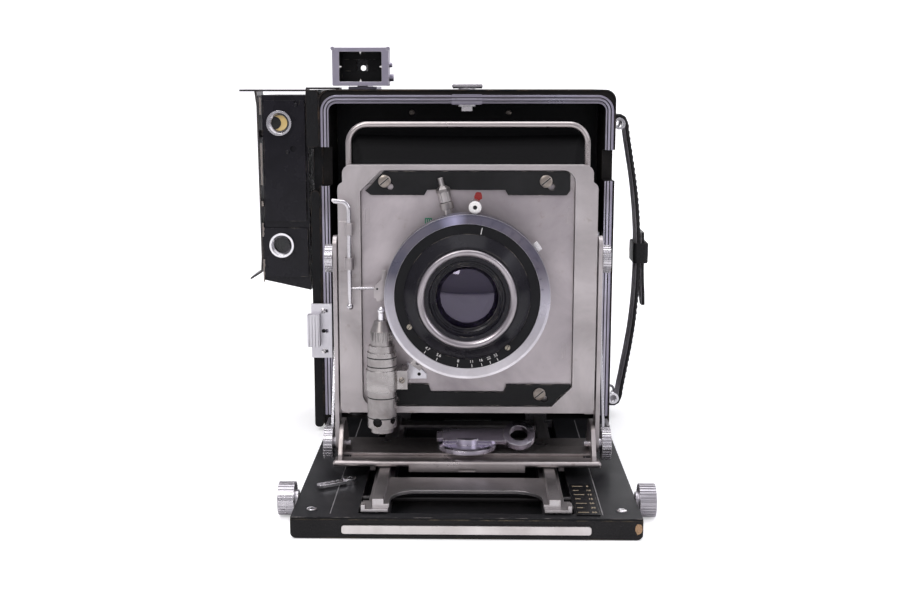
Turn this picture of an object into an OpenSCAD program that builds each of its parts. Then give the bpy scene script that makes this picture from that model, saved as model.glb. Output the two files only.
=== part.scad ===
// Folding plate camera, standing open on its drop bed.
// Origin at the mouth of the tripod socket on the underside.
// +Z up, the lens looks along -Y, +X is the strap side.

/* [Body box] */
// Width of the covered body box
body_w = 165; // [162:0.5:168]
// Height of the body box
body_h = 195; // [194:0.5:196]
// How far the body box sits to the left of the tripod socket
body_off = 1; // [0.5:0.1:1.5]
// Y of the front rim of the body box
body_front = -41; // [-42:0.5:-41]
// Y of the rear face of the body box
body_back = 38; // [37:0.5:38]
// Wall of the wooden box
wall_t = 5.2; // [5:0.1:5.4]
// Thickness of the covering leather
leather_t = 0.8; // [0.6:0.1:0.9]
// Corner radius of the body box
body_r = 6; // [4:0.5:8]
// Width of the ribbed metal rim round the opening
trim_w = 4.6; // [4.2:0.1:4.8]

/* [Drop bed] */
// Half width of the drop bed
bed_hw = 77.8; // [77:0.1:78.2]
// Y of the front edge of the drop bed
bed_front = -213; // [-214:0.5:-212]
// Height of the bed's upper face
bed_top = 9.6; // [9.4:0.1:9.8]
// Half width of the sunk tray between the side plates
tray_hw = 48.2; // [48:0.1:48.4]
// Y of the hinge axis of the bed
hinge_y = -43.5; // [-43.6:0.1:-43.4]
// Z of the hinge axis of the bed
hinge_z = 4; // [3.9:0.1:4.1]
// Radius of the hinge pin
hinge_pin_r = 1.5; // [1.3:0.1:1.5]

/* [Focusing] */
// Y of the focusing shaft
shaft_y = -182; // [-183:0.5:-181]
// Z of the focusing shaft
shaft_z = 7.8; // [7.7:0.1:7.8]
// Radius of the focusing shaft
shaft_r = 1.4; // [1.2:0.1:1.4]
// Outer radius of the rack pinions
pinion_r = 2.6; // [2.4:0.1:2.6]
// Radius of the focusing knobs
focus_knob_r = 7.8; // [7:0.1:7.8]
// Width of each focusing knob
focus_knob_w = 7.6; // [7:0.1:9]
// Half distance between the rail centre lines
rail_x = 39.5; // [39.3:0.1:39.7]
// Top of the sliding rails
rail_top = 15.5; // [15.3:0.1:15.6]

/* [Front standard] */
// Y of the front face of the lens frame
std_y = -147; // [-147.5:0.1:-146.8]
// Half width of the lens frame
frame_hw = 61.8; // [61.4:0.1:62]
// Bottom of the lens frame
frame_z0 = 39.6; // [39.4:0.1:40]
// Top of the lens frame
frame_z1 = 160.2; // [160:0.1:161]
// Side of the square lens board
board_w = 101.6; // [101:0.1:101.6]
// Height of the lens axis
lens_z = 100.5; // [100:0.1:101]
// Inner face of the upright arms
arm_x = 62.8; // [62.7:0.1:63]
// Height of the tilt axis
tilt_z = 21.8; // [21.6:0.1:22]
// Radius of the lower clamp knobs
tilt_knob_r = 8.1; // [7.6:0.1:8.1]
// Radius of the upper clamp knobs
rise_knob_r = 6.8; // [6:0.1:7]
// Height of the upper clamp knobs
rise_knob_z = 114.8; // [114:0.2:115.6]
// Half width of the wire frame finder
wire_hw = 58.4; // [58:0.1:58.4]
// Top of the wire frame finder at rest
wire_top = 180.3; // [178:0.1:182]
// Radius of the finder wire
wire_r = 1.4; // [1.2:0.1:1.4]

/* [Shutter and lens] */
// Outer radius of the shutter speed ring
ring_r = 38.6; // [38:0.1:38.7]
// Radius of the shutter case
case_r = 33.9; // [33.5:0.1:34]
// Y of the front of the shutter
shutter_y = -167; // [-168:0.5:-166]
// Outer radius of the chrome lens rim
rim_r = 22.5; // [21:0.1:23]
// Radius of the front glass
glass_r = 16.5; // [15:0.1:17]
// Radius of the solenoid can
can_r = 7; // [6.8:0.1:7.2]
// X of the solenoid axis
can_x = -40.5; // [-40.8:0.1:-40.3]

/* [Viewfinder and rangefinder] */
// Width of the optical finder's front frame
vf_w = 31.4; // [30:0.1:32]
// Height of the optical finder's front frame
vf_h = 21; // [20:0.1:22]
// X of the optical finder
vf_x = -60.2; // [-61:0.1:-60]
// Z of the optical finder's axis
vf_z = 207.5; // [207:0.1:208]
// X of the rangefinder window centres
rf_x = -106.5; // [-107:0.1:-106]
// Height of the upper rangefinder window
rf_z1 = 176.4; // [175:0.1:177]
// Height of the lower rangefinder window
rf_z2 = 107.3; // [106:0.1:108]

/* [Film back] */
// Width of the picture opening
gate_w = 126; // [120:1:128]
// Height of the picture opening
gate_h = 101; // [96:1:103]
// Height of the picture centre
gate_z = 99; // [97:0.5:101]

/* [Hidden] */
$fn = 48;
bx = -body_off;
bL = bx - body_w / 2;
bR = bx + body_w / 2;
sw = body_w - 2 * leather_t;
sh = body_h - 2 * leather_t;
iw = sw - 2 * wall_t;
ih = sh - 2 * wall_t;
zc = body_h / 2;
shell_f = body_front + 1.5;
trim_top = body_h - 3;
floor_z = leather_t + wall_t;
brace_foot_y = -76;
brace_foot_z = 13;
stud_y = -33;
stud_z = 101;
brace_len = sqrt(pow(stud_y - brace_foot_y, 2) + pow(stud_z - brace_foot_z, 2));
brace_ang = atan2(stud_z - brace_foot_z, stud_y - brace_foot_y);
base_y0 = -160;
base_y1 = -114;
rear_y = std_y + 6;

// ---------- helpers ----------
// Rectangle with true-arc corners, centred
module rr(w, h, r) {
  square([w - 2 * r, h], center = true);
  square([w, h - 2 * r], center = true);
  for (sx = [-1, 1], sy = [-1, 1]) translate([sx * (w / 2 - r), sy * (h / 2 - r)]) circle(r);
}
// Profile in X,Z pushed from y0 to y1
module xz(y0, y1) translate([0, y1, 0]) rotate([90, 0, 0]) linear_extrude(y1 - y0) children();
// Profile in Y,Z pushed from x0 to x1
module yz(x0, x1) translate([x0, 0, 0]) rotate([90, 0, 90]) linear_extrude(x1 - x0) children();
// Box from one corner to the other
module bb(a, b) translate(a) cube([b[0] - a[0], b[1] - a[1], b[2] - a[2]]);
module ycyl(r, y0, y1) translate([0, y1, 0]) rotate([90, 0, 0]) cylinder(r = r, h = y1 - y0);
module ycone(ra, rb, y0, y1) translate([0, y1, 0]) rotate([90, 0, 0]) cylinder(r1 = rb, r2 = ra, h = y1 - y0);
module xcyl(r, x0, x1) translate([x0, 0, 0]) rotate([0, 90, 0]) cylinder(r = r, h = x1 - x0);
module zcyl(r, z0, z1) translate([0, 0, z0]) cylinder(r = r, h = z1 - z0);
// Straight-knurled knob along X
module knurl_x(r, x0, x1, n) difference() {
  xcyl(r, x0, x1);
  for (i = [0:n - 1]) rotate([i * 360 / n, 0, 0]) translate([x0 - 1, r - 0.45, -r * 0.055]) cube([x1 - x0 + 2, 2, r * 0.11]);
}
// Slotted screw head facing -Y
module head_y(r, y0, y1) difference() {
  ycyl(r, y0, y1);
  rotate([0, 45, 0]) bb([-r - 1, y0 - 1, -0.25], [r + 1, y0 + 0.4, 0.25]);
}
// Slotted screw head facing +Z
module head_z(r, z0, z1) difference() {
  zcyl(r, z0, z1);
  bb([-r - 1, -0.25, z1 - 0.4], [r + 1, 0.25, z1 + 1]);
}

// ---------- body ----------
module body_shell() color("#2a211c") difference() {
  translate([bx, 0, zc]) xz(shell_f, body_back) rr(sw - 0.04, sh - 0.04, body_r - leather_t);
  translate([bx, 0, zc]) xz(shell_f - 1, body_back - 6) rr(iw, ih, 2);
  translate([bx, 0, gate_z]) xz(body_back - 8, body_back + 1) rr(gate_w + 6, gate_h + 6, 2);
  // hand-hold notches either side of the opening
  bb([bL - 1, shell_f - 1, 141.7], [bx - iw / 2 + 1, body_front + 14, 163.4]);
  bb([bx + iw / 2 - 1, shell_f - 1, 144.7], [bR + 1, body_front + 14, 161.9]);
  // tripod socket seat
  zcyl(7.02, -1, 12);
  // bed catch plunger
  translate([bx, -30, body_h - 12]) cylinder(r = 5.1, h = 20);
}
module body_leather() color("#17181a") difference() {
  translate([bx, 0, zc]) xz(body_front + 0.5, body_back) rr(body_w, body_h, body_r);
  translate([bx, 0, zc]) xz(body_front - 1, body_back + 1) rr(sw, sh, body_r - leather_t);
  bb([bL - 1, shell_f - 3, 141.7], [bL + 5, body_front + 14, 163.4]);
  bb([bR - 5, shell_f - 3, 144.7], [bR + 1, body_front + 14, 161.9]);
  zcyl(7.02, -1, 12);
  translate([bx, -30, body_h - 12]) cylinder(r = 5.1, h = 20);
}
module trim_ring(o, t) translate([0, trim_top / 2 - zc]) difference() {
  rr(sw - 0.6 - 2 * o, trim_top - 2 * o, 9 - o);
  rr(sw - 0.6 - 2 * o - 2 * t, trim_top - 2 * o - 2 * t, 9 - o - t);
}
module front_trim() color("#b7b2bd") {
  difference() {
    translate([bx, 0, zc]) union() {
      xz(body_front + 0.5, shell_f - 0.02) trim_ring(0, trim_w);
      xz(body_front - 1, body_front + 0.6) trim_ring(0.2, 1.3);
      xz(body_front - 1, body_front + 0.6) trim_ring(2.1, 1.3);
      xz(body_front - 0.2, body_front + 0.6) trim_ring(3.8, 0.8);
    }
    bb([bL - 1, -60, -1], [bR + 1, -30, 9.8]);
    bb([bL - 1, -60, 141.7], [0, -30, 163.4]);
    bb([0, -60, 144.7], [bR + 1, -30, 161.9]);
  }
  // striker plate for the bed catch
  translate([bx, 0, body_h - 5.4]) difference() {
    xz(body_front - 2.2, body_front - 1) rr(17, 5.6, 0.8);
    for (sx = [-1, 1]) translate([sx * 6, 0, 0]) ycyl(0.8, body_front - 3, body_front - 1.6);
  }
}
module bed_release_button() color("#8d8a90") translate([bx, -30, 0]) {
  zcyl(5, body_h - 7.9, body_h + 0.8);
  zcyl(6.9, body_h - 9.4, body_h - 7.9);
  bb([-3, -3, body_h - 12], [3, 3, body_h - 9.3]);
}
// Cover over the release linkage, on the left wall
module release_cover() color("#17181a") {
  xz(body_front + 0.5, 30) difference() {
    translate([bL - 2.56, 70.5]) rr(5, 137, 2.2);
  }
  // upper pad that carries the rangefinder
  xz(body_front + 1, 24) translate([bL - 3.56, 179]) rr(7, 31.6, 1.6);
  // narrow neck behind the hand hold
  bb([bL - 5, body_front + 16, 138], [bL - 0.05, 22, 164]);
}
module release_plate() color("#c9c4cc") difference() {
  xz(body_front - 2.4, body_front - 1.02) translate([-83.4, 59.4]) square([11.8, 31.3], center = true);
  translate([-80.4, 0, 71]) ycyl(0.9, -50, -20);
  translate([-80.4, 0, 59.4]) ycyl(1.1, -50, -20);
  translate([-80.4, 0, 47.6]) ycyl(0.9, -50, -20);
}
module release_slider() color("#c9c4cc") difference() {
  bb([-91, body_front - 8, 51], [-84, body_front - 2.45, 69.6]);
  for (i = [0:3]) translate([-89.9 + i * 1.7, body_front - 9, 50]) cube([0.7, 1.6, 21]);
}
module body_rails() color("#6c6870") {
  // pivot for the rangefinder lever
  translate([-66, -24, 0]) { zcyl(5, floor_z + 0.01, 7.8); zcyl(1.14, 7, 10.4); }
  // studs in the side walls for the braces
  translate([0, stud_y, stud_z]) {
    xcyl(1.5, bx + iw / 2 - 3.2, bx + iw / 2 - 0.03);
    xcyl(3.4, bx + iw / 2 - 0.6, bx + iw / 2 - 0.03);
    xcyl(1.5, bx - iw / 2 + 0.03, bx - iw / 2 + 6);
    xcyl(3.4, bx - iw / 2 + 0.03, bx - iw / 2 + 0.6);
  }
  for (s = [-1, 1]) difference() {
  bb([s * rail_x - 6, -37, floor_z + 0.01], [s * rail_x + 6, 18, rail_top - 0.4]);
  bb([s * rail_x - 2.6, -38, 10.3], [s * rail_x + 2.6, 19, 20]);
  bb([s * rail_x - 4.4, -38, 10.3], [s * rail_x + 4.4, 19, 12.6]);
  }
}
// Tapered pleated chamber, as a plain hollow frustum
module bellows() color("#141416") difference() {
  translate([0, 0, lens_z]) rotate([90, 0, 0]) translate([0, 0, 3]) rotate([0, 0, 45]) cylinder(d1 = 138 * sqrt(2), d2 = 107.4 * sqrt(2), h = 136.5, $fn = 4);
  translate([0, 0, lens_z]) rotate([90, 0, 0]) translate([0, 0, 2]) rotate([0, 0, 45]) cylinder(d1 = 134 * sqrt(2), d2 = 103.4 * sqrt(2), h = 138.5, $fn = 4);
}
module bellows_frame() color("#1b1b1e") translate([bx, 0, zc]) difference() {
  xz(-2.8, 0.2) rr(iw - 0.4, ih - 0.4, 1.5);
  translate([-bx, 0, lens_z - zc]) xz(-4, 2) rr(130, 130, 2);
  // relief over the body rails
  for (s = [-1, 1]) translate([s * rail_x - bx, -4, floor_z - zc - 1]) bb([-6.5, 0, 0], [6.5, 6, rail_top - floor_z + 1]);
  translate([0, -4, -zc]) bb([-80, 0, 0], [80, 6, floor_z + 1.2]);
  // relief over the tripod socket
  translate([-bx, 0, -zc]) zcyl(9.4, 0, 10);
}
module knuckles(list) for (a = list) difference() {
  translate([0, hinge_y, hinge_z]) xcyl(3, a[0], a[1]);
  translate([0, hinge_y, hinge_z]) xcyl(hinge_pin_r + 0.06, a[0] - 1, a[1] + 1);
}
// Hinge pin with the body's own leaf
module hinge_pin() color("#4a474d") {
  translate([0, hinge_y, hinge_z]) xcyl(hinge_pin_r, -72, 72);
  for (a = [[-71, -43], [-13.5, 13.5], [43, 71]]) difference() {
    union() {
      translate([0, hinge_y, hinge_z]) xcyl(3, a[0], a[1]);
      bb([a[0], body_front - 1, 1], [a[1], shell_f - 0.03, 7]);
    }
  }
}
module tripod_socket() color("#b9b4a8") difference() {
  union() { zcyl(7, 0, 9.6); zcyl(9, floor_z + 0.02, 9.6); }
  zcyl(3.175, -1, 8.4);
}

// ---------- rangefinder ----------
module rf_outline(i) polygon([[bL - 7.2 - i, 192 - i], [-116.5 + i, 192 - i], [-116.5 + i, 120], [-118 + i, 118], [-118 + i, 87 + i * 0.7], [bL - 7.2 - i, 81 + i]]);
module rangefinder_housing() color("#101012") difference() {
  union() {
    xz(-31, 24) rf_outline(0);
    // raised front plates
    xz(-33, -30.9) translate([-103.8, 155]) rr(23.4, 68, 1.2);
    xz(-33, -30.9) translate([-104.4, 103]) rr(25.6, 28, 1.2);
    // rear eyepiece
    translate([-104, 0, rf_z1 - 4]) ycyl(6.5, 23.9, 31);
  }
  xz(-29, 22) rf_outline(1.6);
  translate([rf_x, 0, rf_z1]) ycyl(5.3, -40, -20);
  translate([rf_x, 0, rf_z2]) ycyl(5.3, -40, -20);
  translate([-104, 0, rf_z1 - 4]) ycyl(2.5, 20, 32);
  // adjusting screw wells
  translate([-96.5, 0, 188]) ycyl(1.6, -34, -31.6);
  translate([-99, 0, 162]) ycyl(1.6, -34, -31.6);
}
module rangefinder_windows() color("silver") for (z = [rf_z1, rf_z2]) translate([rf_x, 0, z]) difference() {
  union() { ycyl(7, -35.2, -33.02); ycyl(5.24, -33.1, -29.5); }
  ycyl(4.5, -36, -29);
  ycone(5.9, 4.5, -35.3, -33.6);
}
// Follower lever on the body floor, moved by the focusing rail
module rangefinder_lever() color("#8a8790") translate([-66, -24, 0]) {
  difference() { zcyl(4, 8, 9.6); zcyl(1.2, 7, 11); }
  bb([3, -1.6, 8], [15, 1.6, 9.6]);
}
module flash_bracket() color("#9a97a0") {
  // side plate with bent-out feet
  xz(-31, -9) polygon([[-129, 193.9], [-120.6, 193.9], [-119.6, 186], [-118.9, 100], [-119.4, 92], [-125.6, 88], [-125.6, 86.8], [-118.8, 91], [-118.1, 100], [-118.7, 186], [-119.4, 195], [-129, 195]]);
  // top arm to the body
  bb([-119.6, -31, 193.9], [bL - 8, -19, 195]);
  xz(-31, -19) polygon([[bL - 8.1, 193.9], [bL - 8.1, 196.2], [bL + 11, 196.2], [bL + 11, 195.1], [bL - 7.4, 195.1], [bL - 7.4, 193.9]]);
  for (z = [130, 170]) translate([0, -20, z]) xcyl(2.2, -118.9, -116.6);
}

// ---------- optical finder ----------
module finder_body() color("#a7a3ae") difference() {
  union() {
    translate([vf_x, 0, vf_z]) {
      xz(-36, -22) rr(vf_w, vf_h, 0.8);
      ycyl(9.2, -22.1, 18);
      ycyl(10.2, 10, 16);
      // ears for the front mask
      for (s = [-1, 1]) translate([s * (vf_w / 2 - 0.3), 0, vf_h / 2 - 0.6]) ycyl(1.1, -36.6, -34);
      // side screws
      translate([0, -28, 1]) xcyl(1.3, vf_w / 2 - 0.1, vf_w / 2 + 1.6);
      translate([0, -26, -6]) xcyl(2, vf_w / 2 - 0.1, vf_w / 2 + 2.2);
    }
    // foot
    bb([vf_x - 8, -24, body_h + 0.02], [vf_x + 8, 14, body_h + 1.6]);
    bb([vf_x - 3, -22.5, body_h + 1.5], [vf_x + 3, 12, vf_z - 6]);
  }
  translate([vf_x, 0, vf_z]) {
    xz(-37, -23.6) rr(23.6, 16.4, 0.6);
    ycyl(8, -24, 15.6);
    ycyl(2.6, 15, 19);
  }
}
// Lenses of the optical finder and panes of the rangefinder
module finder_glasses() color("#8090a0") {
  translate([vf_x, 0, vf_z]) {
    ycyl(7.9, -22, -20);
    ycyl(7.9, 13, 15);
  }
  for (z = [rf_z1, rf_z2]) translate([rf_x, 0, z]) ycyl(4.4, -32, -30.8);
}
module finder_eyepiece() color("#2a2a2e") translate([vf_x, 0, vf_z]) difference() {
  union() { ycyl(9, 18.05, 21); ycyl(7, 20.9, 24); }
  ycyl(2.4, 17, 25);
}

// ---------- carrying strap ----------
module strap_lugs() color("silver") for (z = [175.5, 12.5]) {
  xz(-10, 10) translate([bR + 1.3, z]) rr(2.5, 11, 1);
  difference() {
    translate([bR + 5.4, 0, z]) ycyl(3.4, -12, 12);
    translate([bR + 5.4, 0, z]) ycyl(2, -13, 13);
    bb([bR + 3, -9.5, z - 5], [bR + 10, 9.5, z + 5]);
  }
  for (s = [-1, 1]) bb([bR + 2.4, s * 11 - 1, z - 1.5], [bR + 3.6, s * 11 + 1, z + 1.5]);
  bb([bR + 2.3, -12, z - 1.5], [bR + 3, 12, z + 1.5]);
}
// Bow of the strap between its lugs
function bow(t, o) = [bR + 6.2 + 10.5 * pow(sin(180 * t), 1.15) + o, 13 + 162 * t];
module strap() color("#19191b") {
  xz(-9, 9) polygon(concat([for (i = [0:24]) bow(i / 24, -1.3)], [for (i = [24:-1:0]) bow(i / 24, 1.3)]));
  // keeper loop
  xz(-10.4, 10.4) difference() {
    translate([bR + 16.6, 100]) rr(6.6, 22, 1.5);
    translate([bR + 16.4, 100]) square([3.8, 40], center = true);
  }
  // loose tail
  xz(-8, 8) polygon([[bR + 18.55, 88.5], [bR + 20.4, 88.5], [bR + 23.6, 62], [bR + 22.2, 61.6]]);
}

// ---------- film back ----------
module back_frame() color("#1a1a1c") difference() {
  translate([bx, 0, zc]) xz(body_back + 0.05, body_back + 7) rr(body_w - 3, body_h - 4, 5);
  translate([bx, 0, gate_z]) xz(body_back - 1, body_back + 9) rr(gate_w, gate_h, 1);
  translate([bx, 0, gate_z]) xz(body_back + 5, body_back + 9) rr(gate_w + 24, gate_h + 22, 2);
}
module focusing_panel() color("#242427") difference() {
  union() {
    translate([bx, 0, gate_z]) xz(body_back + 5.05, body_back + 12) rr(gate_w + 23, gate_h + 21, 2);
  }
  translate([bx, 0, gate_z]) xz(body_back + 4, body_back + 14) rr(gate_w - 6, gate_h - 6, 1);
  translate([bx, 0, gate_z]) xz(body_back + 5.9, body_back + 8.3) square([gate_w + 2, gate_h + 2], center = true);
}
module ground_glass() color("#c8d0cc") translate([bx, 0, gate_z]) xz(body_back + 6, body_back + 8.2) square([gate_w + 1.6, gate_h + 1.6], center = true);
module panel_springs() color("silver") for (s = [-1, 1]) {
  xz(body_back + 12.05, body_back + 12.8) translate([bx + s * (gate_w / 2 + 6), gate_z]) rr(7, 88, 2);
  for (t = [-1, 1]) translate([bx + s * (gate_w / 2 + 6), 0, gate_z + t * 34]) ycyl(2.4, body_back + 12.7, body_back + 14);
}
module focusing_hood() color("#1c1c1e") {
  union() {
    xz(body_back + 14.1, body_back + 16) translate([bx, gate_z]) rr(gate_w - 4, gate_h, 3);
    for (s = [-1, 1]) bb([bx + s * (gate_w / 2 - 4) - 0.7, body_back + 12.1, gate_z - 46], [bx + s * (gate_w / 2 - 4) + 0.7, body_back + 14.2, gate_z + 44]);
    translate([0, body_back + 14.2, gate_z + gate_h / 2 + 2]) xcyl(1.9, bx - 50, bx + 50);
    bb([bx - 50, body_back + 14.1, gate_z + gate_h / 2 - 2], [bx + 50, body_back + 15.4, gate_z + gate_h / 2 + 2]);
  }
}
// Folding peep sight on the top rear edge
module peep_sight() color("#8d8a90") difference() {
  union() {
    translate([bx, 30, body_h + 2.3]) xcyl(1.9, -9, 9);
    bb([bx - 9, 4, body_h + 1.2], [bx + 9, 30, body_h + 2.6]);
  }
  translate([bx, 14, 0]) zcyl(2.2, body_h, body_h + 5);
}

// ---------- drop bed ----------
// Bed's cross-section, rounded along the lower edges
module bed_edge() translate([0, 15]) rr(2 * bed_hw, 30, 2.6);
module bed_panel() color("#1d1d20") difference() {
  intersection() { bb([-bed_hw, bed_front + 0.6, 0.8], [bed_hw, -47.15, bed_top]); xz(-220, -40) bed_edge(); }
  bb([-tray_hw, bed_front + 6, 3.4], [tray_hw, -40, bed_top + 1]);
  // pinion wells and shaft bores
  for (s = [-1, 1]) translate([s * rail_x, shaft_y, shaft_z]) xcyl(pinion_r + 0.5, -3.5, 3.5);
  translate([0, shaft_y, shaft_z]) xcyl(shaft_r + 0.05, -90, 90);
  // sunk screw seats
  for (p = [[-69.5, -202], [69.5, -202], [-69.5, -60], [69.5, -60]]) translate([p[0], p[1], 0]) zcyl(2.5, bed_top - 0.9, bed_top + 1);
  // scribed line along each side plate
  for (s = [-1, 1]) bb([s * 60.6 - 0.2, bed_front + 5, bed_top - 0.3], [s * 60.6 + 0.2, -50, bed_top + 1]);
  // relief for the bed's hinge leaf
  for (a = [-43, 13.4]) bb([a, -50, 0], [a + 29.6, -47, 7.2]);
}
// Leather under the bed and round its front edge
module bed_covering() color("#17181a") intersection() {
  union() {
    bb([-bed_hw, bed_front + 0.5, 0], [bed_hw, -47.15, 0.78]);
    bb([-bed_hw, bed_front, 0], [bed_hw, bed_front + 0.58, bed_top - 0.8]);
  }
  xz(-220, -40) bed_edge();
}
module bed_front_strip() color("silver") translate([0, 0, 4.4]) xz(bed_front - 1.1, bed_front - 0.02) rr(110, 3.8, 1.2);
// Fixed guide channels and the bed's hinge leaf
module bed_tracks() color("#57545c") {
  for (s = [-1, 1]) difference() {
    bb([s * rail_x - 4.6, bed_front + 8, 3.42], [s * rail_x + 4.6, -50, 10.2]);
    translate([s * rail_x, shaft_y, shaft_z]) xcyl(pinion_r + 0.5, -6, 6);
    translate([0, shaft_y, shaft_z]) xcyl(shaft_r + 0.1, -60, 60);
    bb([s * rail_x - 1.2, bed_front, 5], [s * rail_x + 1.2, -40, 12]);
  }
  for (a = [[-42.8, -13.7], [13.7, 42.8]]) difference() {
    union() {
      translate([0, hinge_y, hinge_z]) xcyl(3, a[0], a[1]);
      bb([a[0], -49.8, 1], [a[1], -45.2, 7]);
    }
    translate([0, hinge_y, hinge_z]) xcyl(hinge_pin_r + 0.06, a[0] - 1, a[1] + 1);
  }
  // ears for the side braces
  for (s = [-1, 1]) {
    bb([s * 76.2 - 0.9, brace_foot_y - 7, bed_top + 0.01], [s * 76.2 + 0.9, brace_foot_y + 7, bed_top + 6]);
    translate([0, brace_foot_y, brace_foot_z]) xcyl(1.5, s > 0 ? 72.6 : -75.4, s > 0 ? 75.4 : -72.6);
  }
  // plate screws
  for (p = [[-69.5, -202], [69.5, -202], [-69.5, -60], [69.5, -60]]) translate([p[0], p[1], 0]) head_z(2.4, bed_top - 0.88, bed_top + 0.3);
}
module distance_scale() color("#222226") difference() {
  bb([49, -209, bed_top + 0.01], [59.4, -166, bed_top + 0.6]);
  for (i = [0:6]) bb([50, -206 + i * 6, bed_top + 0.4], [55 - (i % 2) * 2, -205.6 + i * 6, bed_top + 1]);
}
module focus_lock_lever() color("silver") translate([-56, -166, 0]) difference() {
  union() {
    zcyl(3.2, bed_top + 0.05, bed_top + 3);
    rotate([0, 0, 214]) bb([0, -2.2, bed_top + 1], [15, 2.2, bed_top + 2.4]);
    rotate([0, 0, 214]) translate([15, 0, 0]) zcyl(2.2, bed_top + 1, bed_top + 2.4);
  }
  zcyl(1.2, bed_top, bed_top + 4);
  rotate([0, 0, 214]) bb([5, -0.7, bed_top], [13, 0.7, bed_top + 4]);
}
// Side brace: pinned to the bed, its slot rides on a stud in the body wall
module brace(s) color("silver") difference() {
  translate([0, brace_foot_y, brace_foot_z]) rotate([brace_ang, 0, 0]) union() {
    bb([s > 0 ? 73.3 : -74.7, 0, -3.2], [s > 0 ? 74.7 : -73.3, brace_len + 13, 3.2]);
    xcyl(3.2, s > 0 ? 73.3 : -74.7, s > 0 ? 74.7 : -73.3);
    translate([0, brace_len + 13, 0]) xcyl(3.2, s > 0 ? 73.3 : -74.7, s > 0 ? 74.7 : -73.3);
  }
  translate([0, brace_foot_y, brace_foot_z]) xcyl(1.56, -90, 90);
  translate([0, brace_foot_y, brace_foot_z]) rotate([brace_ang, 0, 0]) {
    bb([-90, brace_len - 1, -2.1], [90, brace_len + 10.5, 2.1]);
    translate([0, brace_len - 1, 0]) xcyl(2.1, -90, 90);
    translate([0, brace_len + 10.5, 0]) xcyl(2.1, -90, 90);
  }
}
module brace_left() brace(-1);
module brace_right() brace(1);

// ---------- focusing rails ----------
module focus_rails() color("#a9a5ac") {
  for (s = [-1, 1]) difference() {
    union() {
      bb([s * rail_x - 2.5, -205, 10.5], [s * rail_x + 2.5, -64, rail_top]);
      bb([s > 0 ? rail_x - 4.6 : -rail_x - 7.4, -208, 10.5], [s > 0 ? rail_x + 7.4 : -rail_x + 4.6, -196, 11.7]);
      bb([s > 0 ? rail_x + 5.6 : -rail_x - 7.4, -208, 11.6], [s > 0 ? rail_x + 7.4 : -rail_x - 5.6, -203, 13.6]);
      bb([s * rail_x - 4.6, -204, 10.5], [s * rail_x + 4.6, -64, 11.7]);
    }
    // rack teeth on the underside
    for (i = [0:23]) bb([s * rail_x - 1.5, -200 + i * 2.4, 10], [s * rail_x + 1.5, -199.1 + i * 2.4, 10.9]);
  }
  // arched bridge between the rails
  translate([0, 0, 11.7]) linear_extrude(1.5) difference() {
    translate([-rail_x + 2, -205]) square([2 * rail_x - 4, 38]);
    translate([-rail_x + 17, -206]) square([2 * rail_x - 34, 20]);
    translate([-rail_x + 5, -206]) square([2 * rail_x - 10, 8]);
    for (s = [-1, 1]) translate([s * (rail_x - 17), -198]) circle(12);
  }
  bb([-rail_x + 2, -75, 11.7], [rail_x - 2, -66, 13]);
}
// Focusing shaft with its pinions and knobs
module focus_knobs() color("#c4c0c8") translate([0, shaft_y, shaft_z]) {
  xcyl(shaft_r, -85, 85);
  for (s = [-1, 1]) translate([s * rail_x, 0, 0]) difference() {
    xcyl(pinion_r, -1.4, 1.4);
    for (i = [0:9]) rotate([i * 36, 0, 0]) bb([-2, pinion_r - 0.7, -0.3], [2, pinion_r + 1, 0.3]);
  }
  for (s = [-1, 1]) {
    knurl_x(focus_knob_r, s > 0 ? 79.6 : -79.6 - focus_knob_w, s > 0 ? 79.6 + focus_knob_w : -79.6, 30);
    xcyl(4, s > 0 ? 78.1 : -79.7, s > 0 ? 79.7 : -78.1);
  }
}

// ---------- front standard ----------
module standard_base() color("#9c969a") difference() {
  union() {
    bb([-64.4, base_y0 + 1.5, 15.8], [64.4, base_y1, 17.5]);
    // rolled front lip
    translate([0, base_y0 + 1.6, 17.35]) { xcyl(1.5, -63.2, 63.2); for (s = [-1, 1]) translate([s * 63.2, 0, 0]) sphere(1.5); }
    bb([-28, base_y0 + 0.1, 13.5], [28, base_y0 + 1.6, 17]);
    // side cheeks under the plate that hug the rails
    for (s = [-1, 1]) bb([s * (rail_x + 6.4) - 1.2, base_y0 + 6, 12.4], [s * (rail_x + 6.4) + 1.2, base_y1 - 2, 15.9]);
  }
  // slotted window in the lip
  bb([-4, base_y0 - 1, 14], [4, base_y0 + 0.6, 15]);
  // shift slots
  for (s = [-1, 1]) bb([s * 45 - 12, -139, 15], [s * 45 + 12, -136, 19]);
  translate([0, -141, 0]) zcyl(3.06, 10, 20);
  // clearance for the tilt knobs when the front is shifted
  for (s = [-1, 1]) bb([s > 0 ? 57 : -70, -148.2, 15], [s > 0 ? 70 : -57, -127.8, 20]);
}
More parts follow.
